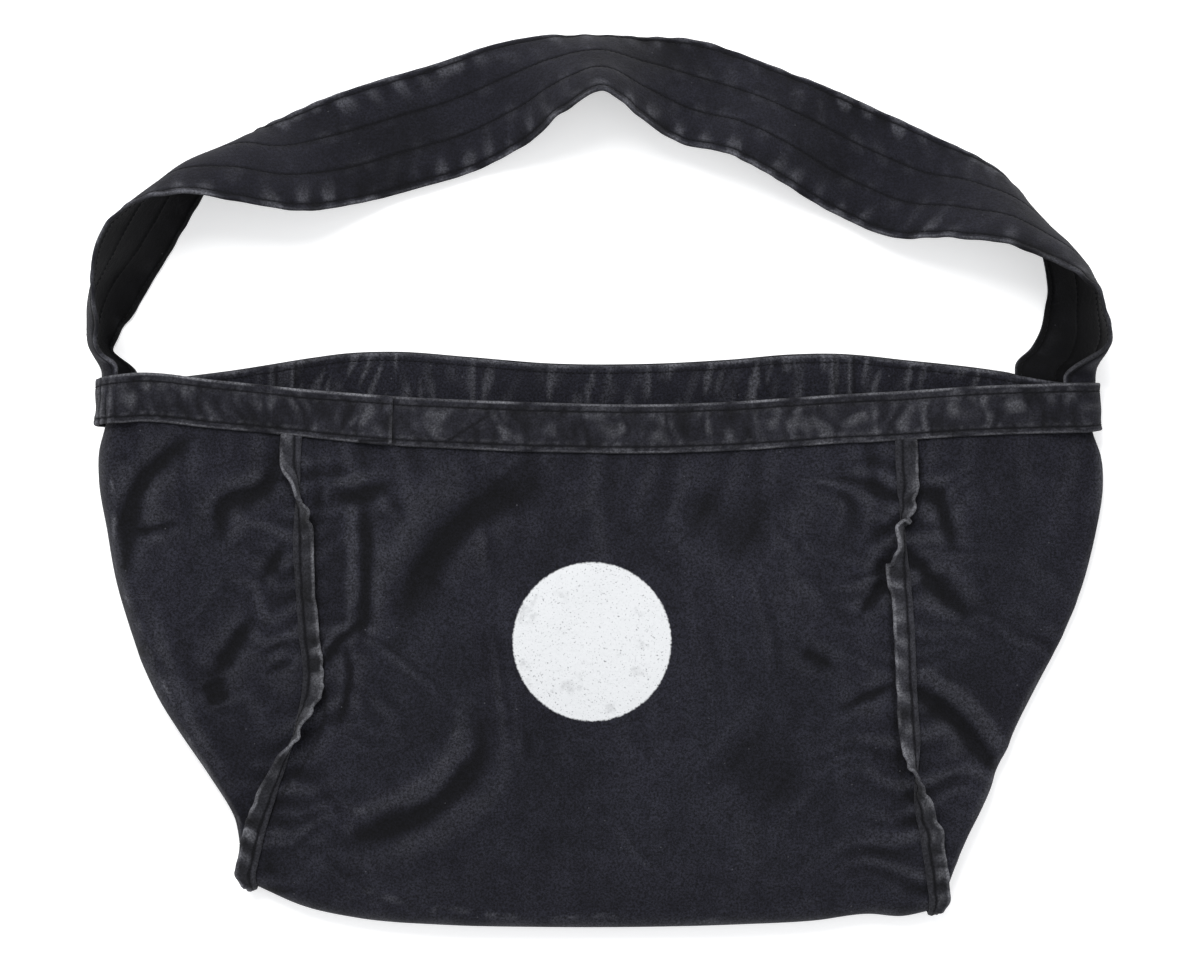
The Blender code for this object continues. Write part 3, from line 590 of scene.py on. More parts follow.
def drawMaps():
    x = relief["low"][0] + relief["cell"] * np.arange(relief["size"][0])[None, :]
    y = relief["low"][1] + relief["cell"] * np.arange(relief["size"][1])[:, None]
    x, y = np.broadcast_arrays(x, y)
    depth = clamp(-y / bag["height"])
    below = bandFoot(x[0])[None, :] - y
    height = np.zeros(x.shape)
    for rise, reach, sharpness, path in folds:
        reach = reach * bag["pixel"]
        part, aside, along = strokes(x, y, path, reach)
        ends = 0.35 + 0.65 * clamp(np.minimum(along, 1 - along) * 4)
        aside = aside * (1 + 0.25 * patches(x[part], y[part], 2.5 * reach, 14))
        height[part] += rise / 1000 * bell(aside, reach, sharpness) * ends
    for cell, rise, seed in relief["swells"]:
        height += rise * patches(x * 1.15, y * 0.85, cell, seed)
    height += wrinkles(x, y, relief["wrinkles"])
    cell, rise, reach = relief["rimPucker"]
    under = np.maximum(below, 0)
    bend = 0.25 * under * patches(x, y, 0.05, 31)
    reach = reach * (1.2 + 0.9 * patches(x, 0, 0.017, 33))
    height += rise * patches(x + bend, 0.12 * y, cell, 32) * bell(under, reach, 1.3)
    cell, rise, reach = relief["seamPucker"]
    besideWelt = np.zeros(x.shape)
    for side in (-1, 1):
        aside = np.abs(x - seamX(side, depth))
        bend = aside * 0.5 * patches(x, y, 0.03, 35 + side)
        local = reach * (1.3 + 1.0 * patches(0, y, 0.019, 40 + side))
        height += rise * patches(y + bend, 0.12 * x + side, cell, 37 + side) * bell(aside, local, 1.2)
        lean = np.cos(np.radians(leans.at(sideName(side), depth)))
        off, shade = relief["freeEdge"]
        freeEdge = seamX(side, depth) - side * (welts["width"] * lean + off * np.sign(lean))
        besideWelt += bell(x - freeEdge, shade) * (below > 0)
    pressed, reach = relief["underBand"]
    height *= 1 - pressed * fade(below, -0.003, reach)
    broad, fine = (soften(height, reach) - height for reach in relief["hollows"])
    high, most = relief["ridges"]
    light = clamp(-fine / high) * most
    for strength, reach, path in wornLines:
        reach = reach * bag["pixel"]
        part, aside, along = strokes(x, y, path, reach)
        aside = aside + 0.8 * reach * patches(x[part], y[part], *relief["crookedWear"])
        broken = clamp(0.45 + 0.9 * patches(x[part], y[part], *relief["brokenWear"]))
        light[part] = np.maximum(light[part], strength * broken * bell(aside, reach))
    # painted shade: darker in the broad and fine hollows of the relief, with a painted shadow beside each
    # welt's free edge and under the band's lower edge
    deep, shallow = relief["hollowDepths"]
    painted_shade_and_threads = 0.6 * clamp(broad / deep) + 0.6 * clamp(fine / shallow)
    painted_shade_and_threads = clamp(painted_shade_and_threads + 0.8 * besideWelt + 0.5 * bell(under, 0.0016))
    deep, cell, seed = relief["back"]
    back = -deep * (0.5 + 0.5 * patches(x, y, cell, seed))
    return {"front": height, "back": back, "worn": light, "painted_shade_and_threads": painted_shade_and_threads}


def readMap(name, x, y):
    places = [(value - low) / relief["cell"] for value, low in zip((x, y), relief["low"])]
    column, row = (np.clip(place, 0, size - 1.001) for place, size in zip(places, relief["size"]))
    u, v = column - np.floor(column), row - np.floor(row)
    column, row = column.astype(int), row.astype(int)
    levels = [lerp(maps[name][at, column], maps[name][at, column + 1], u) for at in (row, row + 1)]
    return lerp(*levels, v)


maps = drawMaps()
print("relief maps drawn")


def reliefAt(place, out):
    facing = 1 - fade(out[..., 2], -0.25, 0.55)
    behind = fade(out[..., 2], -0.9, -0.45)
    x, y = place[..., 0], place[..., 1]
    return facing * readMap("front", x, y) + behind * readMap("back", x, y)


def clothPoint(loop, depth):
    place, out = skinPoint(loop, depth), normalOf(skinPoint, loop, depth)
    return place + out * reliefAt(place, out)[..., None]


def bottomTurn(across, angle):
    # the half round by which the cloth passes from the front, angle 0, under the bottom to the back, angle pi
    front, back = frontPoint(across, 1.0), backPoint(across, 1.0)
    centre, radius = (front + back) / 2, turnRadius(across)
    out = xyz(0 * angle, -np.sin(angle), np.cos(angle))
    lift = readMap("front", front[..., 0], front[..., 1]) * fade(angle, 0, np.pi / 2)
    lift = lift + readMap("back", back[..., 0], back[..., 1]) * fade(np.pi - angle, 0, np.pi / 2)
    round_ = centre + xyz(0 * angle, -radius * np.sin(angle), (front - back)[..., 2] / 2 * np.cos(angle))
    return round_ + out * lift[..., None]


# Meshes

edgeTurns = (-0.8, 0.0, 0.8)  # radians round the rounded edge of a sheet
floorGap = 0.00001


def laidOut(rows):
    # where each point of a piece was on the flat cloth
    stepsAcross = np.linalg.norm(np.diff(rows, axis=1), axis=2)
    stepsDown = np.linalg.norm(np.diff(rows, axis=0), axis=2)
    u = np.concatenate([np.zeros((len(rows), 1)), np.cumsum(stepsAcross, axis=1)], axis=1)
    v = np.concatenate([np.zeros((1, rows.shape[1])), np.cumsum(stepsDown, axis=0)], axis=0)
    return np.stack([u - u[:, [u.shape[1] // 2]], v - v[[v.shape[0] // 2]]], axis=-1)


def placed(name, mesh, finish):
    mesh.shade_smooth()
    piece = bpy.data.objects.new(name, mesh)
    bpy.context.scene.collection.objects.link(piece)
    piece.data.materials.append(finish)
    return piece


def clothPiece(name, rows, thickness, offset, finish, marks, hem=0.0, inside=1.0):
    # a sheet with rounded edges from rows of points; offset -1 puts the wall behind them and 0 astride them
    # hem: how much thicker the wall is, at its back; inside: how much painted shade its back face gets
    down, across = rows.shape[:2]
    out = facingOf(rows)
    half = thickness / 2
    middle = rows + out * offset * half
    order = [(0, j) for j in range(across)] + [(i, across - 1) for i in range(1, down)]
    order += [(down - 1, j) for j in range(across - 2, -1, -1)] + [(i, 0) for i in range(down - 2, 0, -1)]
    row, column = np.array(order).T
    inner = np.clip(row, 1, down - 2), np.clip(column, 1, across - 2)
    thicker = np.broadcast_to(hem, (down, across))[..., None]
    front, behind = middle + out * half, middle - out * (half + thicker)
    core = (front + behind) / 2
    edge, edgeOut = core[row, column], out[row, column]
    away = unit(edge - core[inner])
    away = unit(away - edgeOut * (away * edgeOut).sum(1, keepdims=True))
    roundness = half + thicker[row, column] / 2
    levels = [edge + roundness * (edgeOut * math.sin(turn) + away * math.cos(turn)) for turn in edgeTurns]
    vertices = np.concatenate([front.reshape(-1, 3), behind.reshape(-1, 3), *levels]) + np.array(bag["shift"])
    count, ring = down * across, len(row)
    corner = (np.arange(down - 1)[:, None] * across + np.arange(across - 1)[None, :]).ravel()
    top = np.stack([corner, corner + 1, corner + across + 1, corner + across], 1)
    faces = [top, top[:, ::-1] + count]
    flat = row * across + column
    chain = [flat + count, *(2 * count + number * ring + np.arange(ring) for number in range(3)), flat]
    for low, high in zip(chain[:-1], chain[1:]):
        faces.append(np.stack([low, np.roll(low, -1), np.roll(high, -1), high], 1))
    faces = np.concatenate(faces)
    source = np.concatenate([np.arange(count), np.arange(count), flat, flat, flat])
    mesh = bpy.data.meshes.new(name)
    mesh.from_pydata(vertices.tolist(), [], faces.tolist())
    flatCloth = laidOut(rows).reshape(-1, 2)[source]
    mesh.uv_layers.new(name="cloth").data.foreach_set("uv", flatCloth[faces.ravel()].ravel())
    kept = np.broadcast_to(inside, (down, across)).ravel()
    values = {mark: np.broadcast_to(grid, (down, across)).ravel()[source] for mark, grid in marks.items()}
    # painted shade on the back face, fading out over the rounded edge
    values["inner"] = np.concatenate([0 * kept, kept, *(kept[flat] * share for share in (0.7, 0.4, 0.1))])
    for mark, each in values.items():
        mesh.attributes.new(mark, "FLOAT", "POINT").data.foreach_set("value", each.astype(np.float32))
    return placed(name, mesh, finish)


stitch = {
    "pitch": 0.0033, "length": 0.0024, "radius": 0.00028, "turns": 5,
    # along a stitch, as shares of its length: its rings, their sizes and their heights, in radii
    "rings": ((-0.5, 0.25, -1.4), (-0.3, 0.9, 0.25), (0.0, 1.0, 0.7), (0.3, 0.9, 0.25), (0.5, 0.25, -1.4)),
    "look": 0.0004,  # distance over which a path's direction is read
}


def stitchRow(path, out, phase=0.0):
    # short threads along a path of points, each with its two ends sunk in the cloth; phase is in pitches
    run, length, radius = runAlong(path), stitch["length"], stitch["radius"]
    middles = np.arange(stitch["pitch"] * (0.5 + phase), run[-1] - length / 2, stitch["pitch"])
    rings = []
    for share, size, lift in stitch["rings"]:
        at = middles + share * length
        spots = ((at, path), (at + stitch["look"], path), (at - stitch["look"], path), (at, out))
        place, ahead, behind, normal = (
            np.stack([np.interp(where, run, values[:, k]) for k in range(3)], 1) for where, values in spots
        )
        normal, tangent = unit(normal), unit(ahead - behind)
        aside = unit(np.cross(tangent, normal))
        centre = place + normal * radius * lift
        for turn in np.linspace(0, 2 * np.pi, stitch["turns"] + 1)[:-1]:
            rings.append(centre + radius * size * (aside * math.cos(turn) + normal * math.sin(turn)))
    return np.stack(rings, 1)  # stitch, ring and turn, xyz


def bothFaces(path, out, thickness):
    # stitches on the front of a sheet, and half a pitch further on its back
    half = out * thickness / 2
    return [stitchRow(path + half, out), stitchRow(path - half, -out, 0.5)]


def threadPiece(name, rows):
    turns, rings = stitch["turns"], len(stitch["rings"])
    faces = []
    for ring, turn in itertools.product(range(rings - 1), range(turns)):
        here, after = ring * turns + turn, ring * turns + (turn + 1) % turns
        faces.append((here, after, after + turns, here + turns))
    faces += [tuple(range(turns - 1, -1, -1)), tuple(range((rings - 1) * turns, rings * turns))]
    threads = np.concatenate(rows) + np.array(bag["shift"])
    liftTo(threads, floorGap)
    starts = range(0, len(threads) * rings * turns, rings * turns)
    faces = [[start + k for k in face] for start in starts for face in faces]
    mesh = bpy.data.meshes.new(name)
    mesh.from_pydata(threads.reshape(-1, 3).tolist(), [], faces)
    return placed(name, mesh, stitchCotton)


# Finishes

def operator(operation, swapped=False):
    def apply(self, other):
        first, second = (other, self) if swapped else (self, other)
        return self.finish.node("ShaderNodeMath", {"operation": operation}, {0: first, 1: second})
    return apply


class Value:
    # a shader socket; Python's operators add Math nodes to it

    def __init__(self, finish, socket):
        self.finish = finish
        self.socket = socket

    __add__, __radd__ = operator("ADD"), operator("ADD", swapped=True)
    __sub__, __rsub__ = operator("SUBTRACT"), operator("SUBTRACT", swapped=True)
    __mul__, __rmul__ = operator("MULTIPLY"), operator("MULTIPLY", swapped=True)
    __lt__, __gt__ = operator("LESS_THAN"), operator("GREATER_THAN")

    def clamped(self):
        return self.finish.node("ShaderNodeClamp", {}, {0: self, 1: 0.0, 2: 1.0})

    def sine(self):
        return self.finish.node("ShaderNodeMath", {"operation": "SINE"}, {0: self})


class Finish:
    # a material that is put together node by node

    def __init__(self, name):
        self.material = bpy.data.materials.new(name)
        self.material.use_nodes = True
        self.tree = self.material.node_tree
        self.shader = self.tree.nodes["Principled BSDF"]

    def node(self, kind, settings, sockets, output=0):
        made = self.tree.nodes.new(kind)
        for name, value in settings.items():
            setattr(made, name, value)
        for name, value in sockets.items():
            self.plug(made.inputs[name], value)
        return Value(self, made.outputs[output])

    def plug(self, socket, value):
        if isinstance(value, Value):
            self.tree.links.new(value.socket, socket)
        else:
            socket.default_value = value

    def set(self, **sockets):
        for name, value in sockets.items():
            self.plug(self.shader.inputs[name.replace("_", " ")], value)

    def mark(self, name):
        return self.node("ShaderNodeAttribute", {"attribute_name": name, "attribute_type": "GEOMETRY"}, {}, 2)

    def noise(self, where, scale, detail=3.0, roughness=0.55, distortion=0.0):
        sockets = {"Scale": scale, "Detail": detail, "Roughness": roughness, "Distortion": distortion}
        return self.node("ShaderNodeTexNoise", {}, {"Vector": where, **sockets})

    def apart(self, vector, axis):
        return self.node("ShaderNodeSeparateXYZ", {}, {0: vector}, axis)

    def vector(self, operation, sockets, output=0):
        return self.node("ShaderNodeVectorMath", {"operation": operation}, sockets, output)

    def bump(self, height, strength):
        return self.node("ShaderNodeBump", {}, {"Strength": strength, "Distance": 1.0, "Height": height})

    def step(self, value, low, high):
        sockets = {0: value, 1: low, 2: high, 3: 0.0, 4: 1.0}
        return self.node("ShaderNodeMapRange", {"interpolation_type": "SMOOTHSTEP"}, sockets)

    def blend(self, share, first, second, kind="MIX"):
        settings = {"data_type": "RGBA", "blend_type": kind, "clamp_factor": True}
        return self.node("ShaderNodeMix", settings, {0: share, 6: first, 7: second}, 2)


def colour(red, green, blue):
    return (red, green, blue, 1.0)


cottonLooks = {
    "canvas": {
        "dark": (0.0062, 0.0062, 0.0100), "faded": (0.0185, 0.0188, 0.0270), "worn": (0.085, 0.086, 0.098),
        "fading": 0.55, "grain": 1.5, "specks": 0.4, "print": True, "veins": 0.0,
    },
    "band": {
        "dark": (0.0058, 0.0058, 0.0088), "faded": (0.0200, 0.0200, 0.0265), "worn": (0.125, 0.126, 0.138),
        "fading": 0.75, "grain": 1.1, "specks": 0.4, "print": False, "veins": 0.0,
    },
    "strap": {
        "dark": (0.0052, 0.0052, 0.0086), "faded": (0.0160, 0.0162, 0.0235), "worn": (0.105, 0.106, 0.120),
        "fading": 0.5, "grain": 1.1, "specks": 0.3, "print": False, "veins": 0.16,
    },
}
cottonNoise = {
    # scale, detail, roughness, distortion
    "blotches": (16.0, 4.0, 0.62, 0.6),
    "mottle": (110.0, 4.0, 0.65),
    "grain": (780.0, 3.0, 0.85),
    "rubbing": (520.0, 3.0, 0.7),
    "veined": (34.0, 2.0, 0.6),
    "creases": (240.0, 3.0, 0.6),
    "ragged": (520.0, 3.0, 0.7),
    "pinholes": (900.0, 2.0, 0.7),
    "patches": (70.0, 4.0, 0.65),
}
cotton = {
    "hollowShade": 0.72, "innerShade": 0.84,  # how much the painted shade darkens the hollows and the back faces
    "twill": 0.0011,  # pitch of the weave, in metres
    "twillRise": 0.00009, "grainRise": 0.0004, "creaseRise": 0.0009,
    "veins": {"bend": 0.035, "bendScale": 26.0, "scale": 42.0, "width": 0.035},
    "lint": {"scale": 210.0, "size": 0.10, "rarer": 0.93, "colour": (0.10, 0.10, 0.11)},
}
printDisc = {
    "middle": fromPhoto((592, 640)),
    "radius": 0.047,
    "ink": (0.62, 0.63, 0.64),
    "ragged": 0.0011,
    "edge": 0.0006,
    "above": 0.012,  # the front's cloth, not the back's, is above this height
    "pinholes": 0.75,
    "patches": 0.28,
}


def cottonFinish(name, look):
    finish = Finish(name)
    place = finish.node("ShaderNodeTexCoord", {}, {}, 3)
    cloth = finish.node("ShaderNodeUVMap", {"uv_map": "cloth"}, {})
    rubs, painted_shade_and_threads, inner = finish.mark("worn"), finish.mark("painted_shade_and_threads"), finish.mark("inner")

    def noise(kind):
        return finish.noise(place, *cottonNoise[kind])

    mottle, grain = noise("mottle"), noise("grain")
    fading = finish.step(noise("blotches") * 0.55 + mottle * 0.45, 0.34, 0.70) * look["fading"]
    base = finish.blend(fading, colour(*look["dark"]), colour(*look["faded"]))
    rubbed = (rubs * (0.35 + 1.3 * noise("rubbing"))).clamped()
    base = finish.blend(rubbed, base, colour(*look["worn"]))
    if look["veins"]:
        asked = cotton["veins"]
        sockets = {"Vector": place, "Scale": asked["bendScale"], "Detail": 3.0}
        bent = finish.node("ShaderNodeTexNoise", {}, sockets, 1)
        bent = finish.node("ShaderNodeMix", {"data_type": "VECTOR"}, {0: asked["bend"], 4: place, 5: bent}, 1)
        sockets = {"Vector": bent, "Scale": asked["scale"]}
        veins = finish.node("ShaderNodeTexVoronoi", {"feature": "DISTANCE_TO_EDGE"}, sockets)
        shown = finish.step(noise("veined"), 0.50, 0.68) * inner * look["veins"]
        onVein = 1 - finish.step(veins, 0.0, asked["width"])
        base = finish.blend(onVein * shown, base, colour(*look["worn"]))
    speckle = finish.step(grain, 0.36, 0.66) - 0.45
    # painted shade: darker in the marked hollows, grooves, dips and shadows, and on back faces; the same mark
    # carries the band's dark thread lines
    kept = (1 - cotton["hollowShade"] * painted_shade_and_threads) * (1 - cotton["innerShade"] * inner)
    kept = kept * (1 + speckle * look["grain"])
    base = finish.vector("SCALE", {0: base, 3: kept})
    asked = cotton["lint"]
    sockets = {"Vector": place, "Scale": asked["scale"]}
    near, picked = (finish.node("ShaderNodeTexVoronoi", {}, sockets, output) for output in (0, 1))
    chosen = finish.node("ShaderNodeSeparateColor", {}, {0: picked}, 0)
    specks = (near < asked["size"]) * (chosen > asked["rarer"]) * look["specks"]
    base = finish.blend(specks, base, colour(*asked["colour"]))
    u, v = finish.apart(cloth, 0), finish.apart(cloth, 1)
    pitch = 2 * math.pi / cotton["twill"]
    twill, threads = ((u + v) * pitch).sine() * 0.5, ((u - v) * (pitch * 2)).sine() * 0.25
    weave = (twill + threads) * cotton["twillRise"] + grain * cotton["grainRise"]
    weave = weave + noise("creases") * cotton["creaseRise"]
    if look["print"]:
        middle = [a + b for a, b in zip(printDisc["middle"], bag["shift"])]
        apart = finish.vector("SUBTRACT", {0: place, 1: (*middle, 0.0)})
        level = finish.vector("MULTIPLY", {0: apart, 1: (1.0, 1.0, 0.0)})
        distance = finish.vector("LENGTH", {0: level}, 1)
        ragged = distance + (noise("ragged") - 0.5) * printDisc["ragged"] * 2
        radius, edge = printDisc["radius"], printDisc["edge"]
        disc = 1 - finish.step(ragged, radius - edge, radius + edge)
        onFront = finish.apart(place, 2) > printDisc["above"]
        pinholes = 1 - finish.step(noise("pinholes"), 0.60, 0.72) * printDisc["pinholes"]
        patchy = 1 - finish.step(noise("patches"), 0.56, 0.78) * printDisc["patches"]
        base = finish.blend(disc * onFront * pinholes * patchy, base, colour(*printDisc["ink"]))
    finish.set(Base_Color=base, Roughness=0.86 + 0.08 * mottle, Normal=finish.bump(weave, 0.6))
    finish.set(Sheen_Weight=0.04, Sheen_Roughness=0.45, Specular_IOR_Level=0.18)
    return finish.material


def threadFinish():
    finish = Finish("cotton_thread")
    place = finish.node("ShaderNodeTexCoord", {}, {}, 3)
    uneven, ply = finish.noise(place, 600.0, 2.0, 0.6), finish.noise(place, 3000.0, 1.0, 0.5) * 0.0001
    base = finish.blend(uneven, colour(0.003, 0.003, 0.004), colour(0.012, 0.012, 0.015))
    finish.set(Base_Color=base, Roughness=0.8, Normal=finish.bump(ply, 0.5), Specular_IOR_Level=0.1)
    return finish.material


canvasCotton, bandCotton, strapCotton = (
    cottonFinish(name, cottonLooks[kind])
    for kind, name in (("canvas", "washed_canvas"), ("band", "faded_band"), ("strap", "strap_canvas"))
)
stitchCotton = threadFinish()
print("finishes ready")


# The camera, straight above as in the photograph
camera = {"height": 2.0, "plane": 0.015, "across": 0.72, "sensor": 36.0, "x": 0.0018, "y": -0.00065}
cameraData = bpy.data.cameras.new("camera")
cameraData.sensor_width = camera["sensor"]
cameraData.lens = camera["sensor"] * (camera["height"] - camera["plane"]) / camera["across"]
cameraObject = bpy.data.objects.new("camera", cameraData)
cameraObject.location = (camera["x"], camera["y"], camera["height"])
bpy.context.scene.collection.objects.link(cameraObject)
bpy.context.scene.camera = cameraObject


def worth(run, cell, seed, middle, swing):
    # uneven strength along a run, from 0 to 1
    return clamp(middle + swing * patches(run, 0, cell, seed))


# The main panel: front, bottom and back in one length of canvas
panel = {"columns": 184, "frontRows": 158, "backRows": 40, "turnSteps": 18, "finer": 0.055, "turnWear": 0.35}
hemFold = {
    "thickness": 0.0009,
    "kept": 0.15,  # how much of the back faces' painted shade the hem gets
    "spacing": 0.0015,
    "ends": (0.985, 1.03),  # where the hem stops and where the single cloth starts, as shares of its height
    "stitches": (0.0034, 0.0256),  # distance below the rim
    "stitchShade": (0.7, 0.0007),  # strength, reach
    "footShade": (0.8, 0.0016),
    "edgeWear": (0.8, 0.0009),
    "creases": (0.0036, 62, 0.42),  # patch size, seed, strength
    "blots": (0.007, 64, 0.14),
    "joins": (270, 290, 833, 851),  # pixels across
    "joinWear": (0.5, 0.0, 0.0012),  # strength, distance aside, reach
    "joinShade": (0.9, 0.0024, 0.0014),
}


def panelColumns(count):
    # finer beside the seams
    share = np.linspace(0, 1, count)
    return share - panel["finer"] * np.sin(2 * np.pi * share)


def hemmedRows(count):
    # shares of the way down, closer together in the hem inside the rim
    hem = band["height"] / bag["height"]
    stop, start = (hem * end for end in hemFold["ends"])
    closer = ruled(band["height"], hemFold["spacing"], hemFold["stitches"]) / bag["height"]
    closer = np.unique(np.concatenate([closer, [0.0]]))
    return np.concatenate([closer[closer < stop], [stop], np.linspace(start, 1, count)])


def hemMarks(rows, depth):
    # the hem inside the rim: its extra thickness, its worn places, and its painted shade along the stitches,
    # at the hem's lower edge and beside the joins
    below = depth * bag["height"]
    x = rows[:depth.shape[0], :depth.shape[1], 0]
    onHem = below < band["height"]
    lean = x + 0.15 * below + 0.003 * patches(x, below, 0.02, 60)
    cell, seed, share = hemFold["creases"]
    rubs = share * clamp(patches(lean, below * 0.15, cell, seed) * 2.2 - 0.8)
    cell, seed, share = hemFold["blots"]
    rubs = rubs + share * clamp(patches(lean, below * 0.6, cell, seed) * 1.6 - 0.3)
    share, reach = hemFold["edgeWear"]
    edge = bell(below, reach) * (0.5 + 0.5 * patches(x, 0, 0.013, 63))
    rubs = clamp(rubs * onHem + share * edge)
    share, reach = hemFold["footShade"]
    painted_shade_and_threads = share * bell(below - band["height"], reach)
    share, reach = hemFold["stitchShade"]
    painted_shade_and_threads = painted_shade_and_threads + sum(share * bell(below - at, reach) for at in hemFold["stitches"])
    for at in hemFold["joins"]:
        aside = x - fromPhoto((at, 400))[0]
        for marks, (share, beside, reach) in ((rubs, hemFold["joinWear"]), (painted_shade_and_threads, hemFold["joinShade"])):
            np.maximum(marks, share * bell(aside - beside, reach) * onHem, out=marks)
    return hemFold["thickness"] * onHem, rubs, clamp(painted_shade_and_threads)


def makePanel():
    trim = bag["gap"] / 2 / frontWidth()
    across = np.clip(panelColumns(panel["columns"]), trim, 1 - trim)
    frontDown, backDown = np.linspace(0, 1, panel["frontRows"])[::-1], hemmedRows(panel["backRows"])
    angles = np.linspace(math.pi, 0, panel["turnSteps"] + 1)[1:-1]
    back = clothPoint(3 - across[None, :], backDown[:, None])
    turn = bottomTurn(across[None, :], np.broadcast_to(angles[:, None], (len(angles), len(across))))
    rows = np.concatenate([back, turn, clothPoint(across[None, :], frontDown[:, None])])
    onBack, onTurn = slice(0, len(back)), slice(len(back), len(back) + len(turn))
    liftTo(rows[onBack], floorGap)
    x, y = rows[..., 0], rows[..., 1]
    hem, *hemShades = hemMarks(rows, np.broadcast_to(backDown[:, None], back.shape[:2]))
    thicker = np.zeros(x.shape)
    thicker[onBack] = hem
    marks = {"worn": readMap("worn", x, y), "painted_shade_and_threads": readMap("painted_shade_and_threads", x, y)}
    turning = np.sin(angles)[:, None] ** 2 * (0.6 + 0.4 * patches(x[onTurn], 0, 0.012, 61))
    marks["worn"][onTurn] = np.maximum(marks["worn"][onTurn], panel["turnWear"] * turning)
    for mark, hemShade in zip(marks.values(), hemShades):
        mark[onBack] = hemShade
    # less painted shade on the back face where the hem is
    inside = np.where(thicker > 0, hemFold["kept"], 1.0)
    return clothPiece("main_panel_cloth", rows, bag["cloth"], -1, canvasCotton, marks, thicker, inside)


panelPiece = makePanel()
print("main panel made")


# The gussets: each folded down its middle and closed at its foot
def gussetFlat(side, around, depth):
    clear = bag["cloth"] + 2 * bag["gap"]
    flat = gussetPoint(side, around, depth, outset=clear * (1 - fade(depth, 0.75, 1.0)))
    foot = bottomTurn(np.full(np.shape(around), shareOf(side)), np.pi * around)
    foot[..., 0] += side * (clear + gussets["bulge"] * np.sin(np.pi * around))
    share = clamp((depth - gussets["footStart"]) / (1 - gussets["footStart"])) ** 2
    return lerp(flat, foot, share[..., None])


def makeGusset(side):
    trim = bag["gap"] / 2 / (bag["width"] / 4)
    flatShare, foldShare = (np.linspace(0, 1, gussets[name]) for name in ("flatSteps", "foldSteps"))
    start, end = gussets["foldStart"], gussets["foldEnd"]
    fold = start + foldShare[1:-1] * (end - start)
    around = np.concatenate([flatShare * start, fold, end + flatShare * (1 - end)])
    around = np.clip(around, trim, 1 - trim)
    around, down = np.broadcast_arrays(around[None, :], hemmedRows(gussets["rows"])[:, None])
    base = gussetFlat(side, around, down)
    out = facingOf(base) * -side
    rows = base + out * (reliefAt(base, out) * fade(down, *gussets["footFade"]))[..., None]
    liftTo(rows, floorGap)
    rows, around, down, out = (values[::-1] for values in (rows, around, down, out))
    x, y = rows[..., 0], rows[..., 1]
    facing = 1 - fade(out[..., 2], 0.0, 0.5)
    share, place, reach = gussets["ridge"]
    ridge = bell(around - place, reach) * (0.5 + 0.5 * patches(y, 0, 0.02, 71 + side))
    fronts = np.maximum(readMap("worn", x, y) * facing, share * ridge), readMap("painted_shade_and_threads", x, y) * facing
    hem, *hemShades = hemMarks(rows, down)
    rubs, painted_shade_and_threads = (np.where(around > 0.5, shade, front) for shade, front in zip(hemShades, fronts))
    if side < 0:
        rows, rubs, painted_shade_and_threads, hem = (values[:, ::-1] for values in (rows, rubs, painted_shade_and_threads, hem))
    # less painted shade on the back face where the hem is
    inside = np.where(hem > 0, hemFold["kept"], 1.0)
    name, marks = "gusset_cloth_" + sideName(side), {"worn": rubs, "painted_shade_and_threads": painted_shade_and_threads}
    return clothPiece(name, rows, bag["cloth"], -1, canvasCotton, marks, hem, inside)


gussetPieces = {side: makeGusset(side) for side in (-1, 1)}
print("gussets made")


# The rim band, its end lapped over its start on the front
def bandStandOff(loop):
    # how far the middle of the band's wall stands off the cloth: over a strap's end, and over its own start
    lap = band["lap"] / frontWidth()
    lapStart = band["lapEnd"] - lap
    overLap = (1 - fade(loop - 4, lapStart - lap, lapStart)) * (band["thickness"] + bag["gap"])
    tuck = np.zeros_like(loop)
    for side, after, around in ((1, 1, loop - 1), (-1, 3, 4 - loop)):
        onGusset = (loop > after) & (loop < after + 1)
        tuck[onGusset] = tuckShare(side, around[onGusset])
    return bag["gap"] + band["thickness"] / 2 + tuck * strapRoom() + overLap


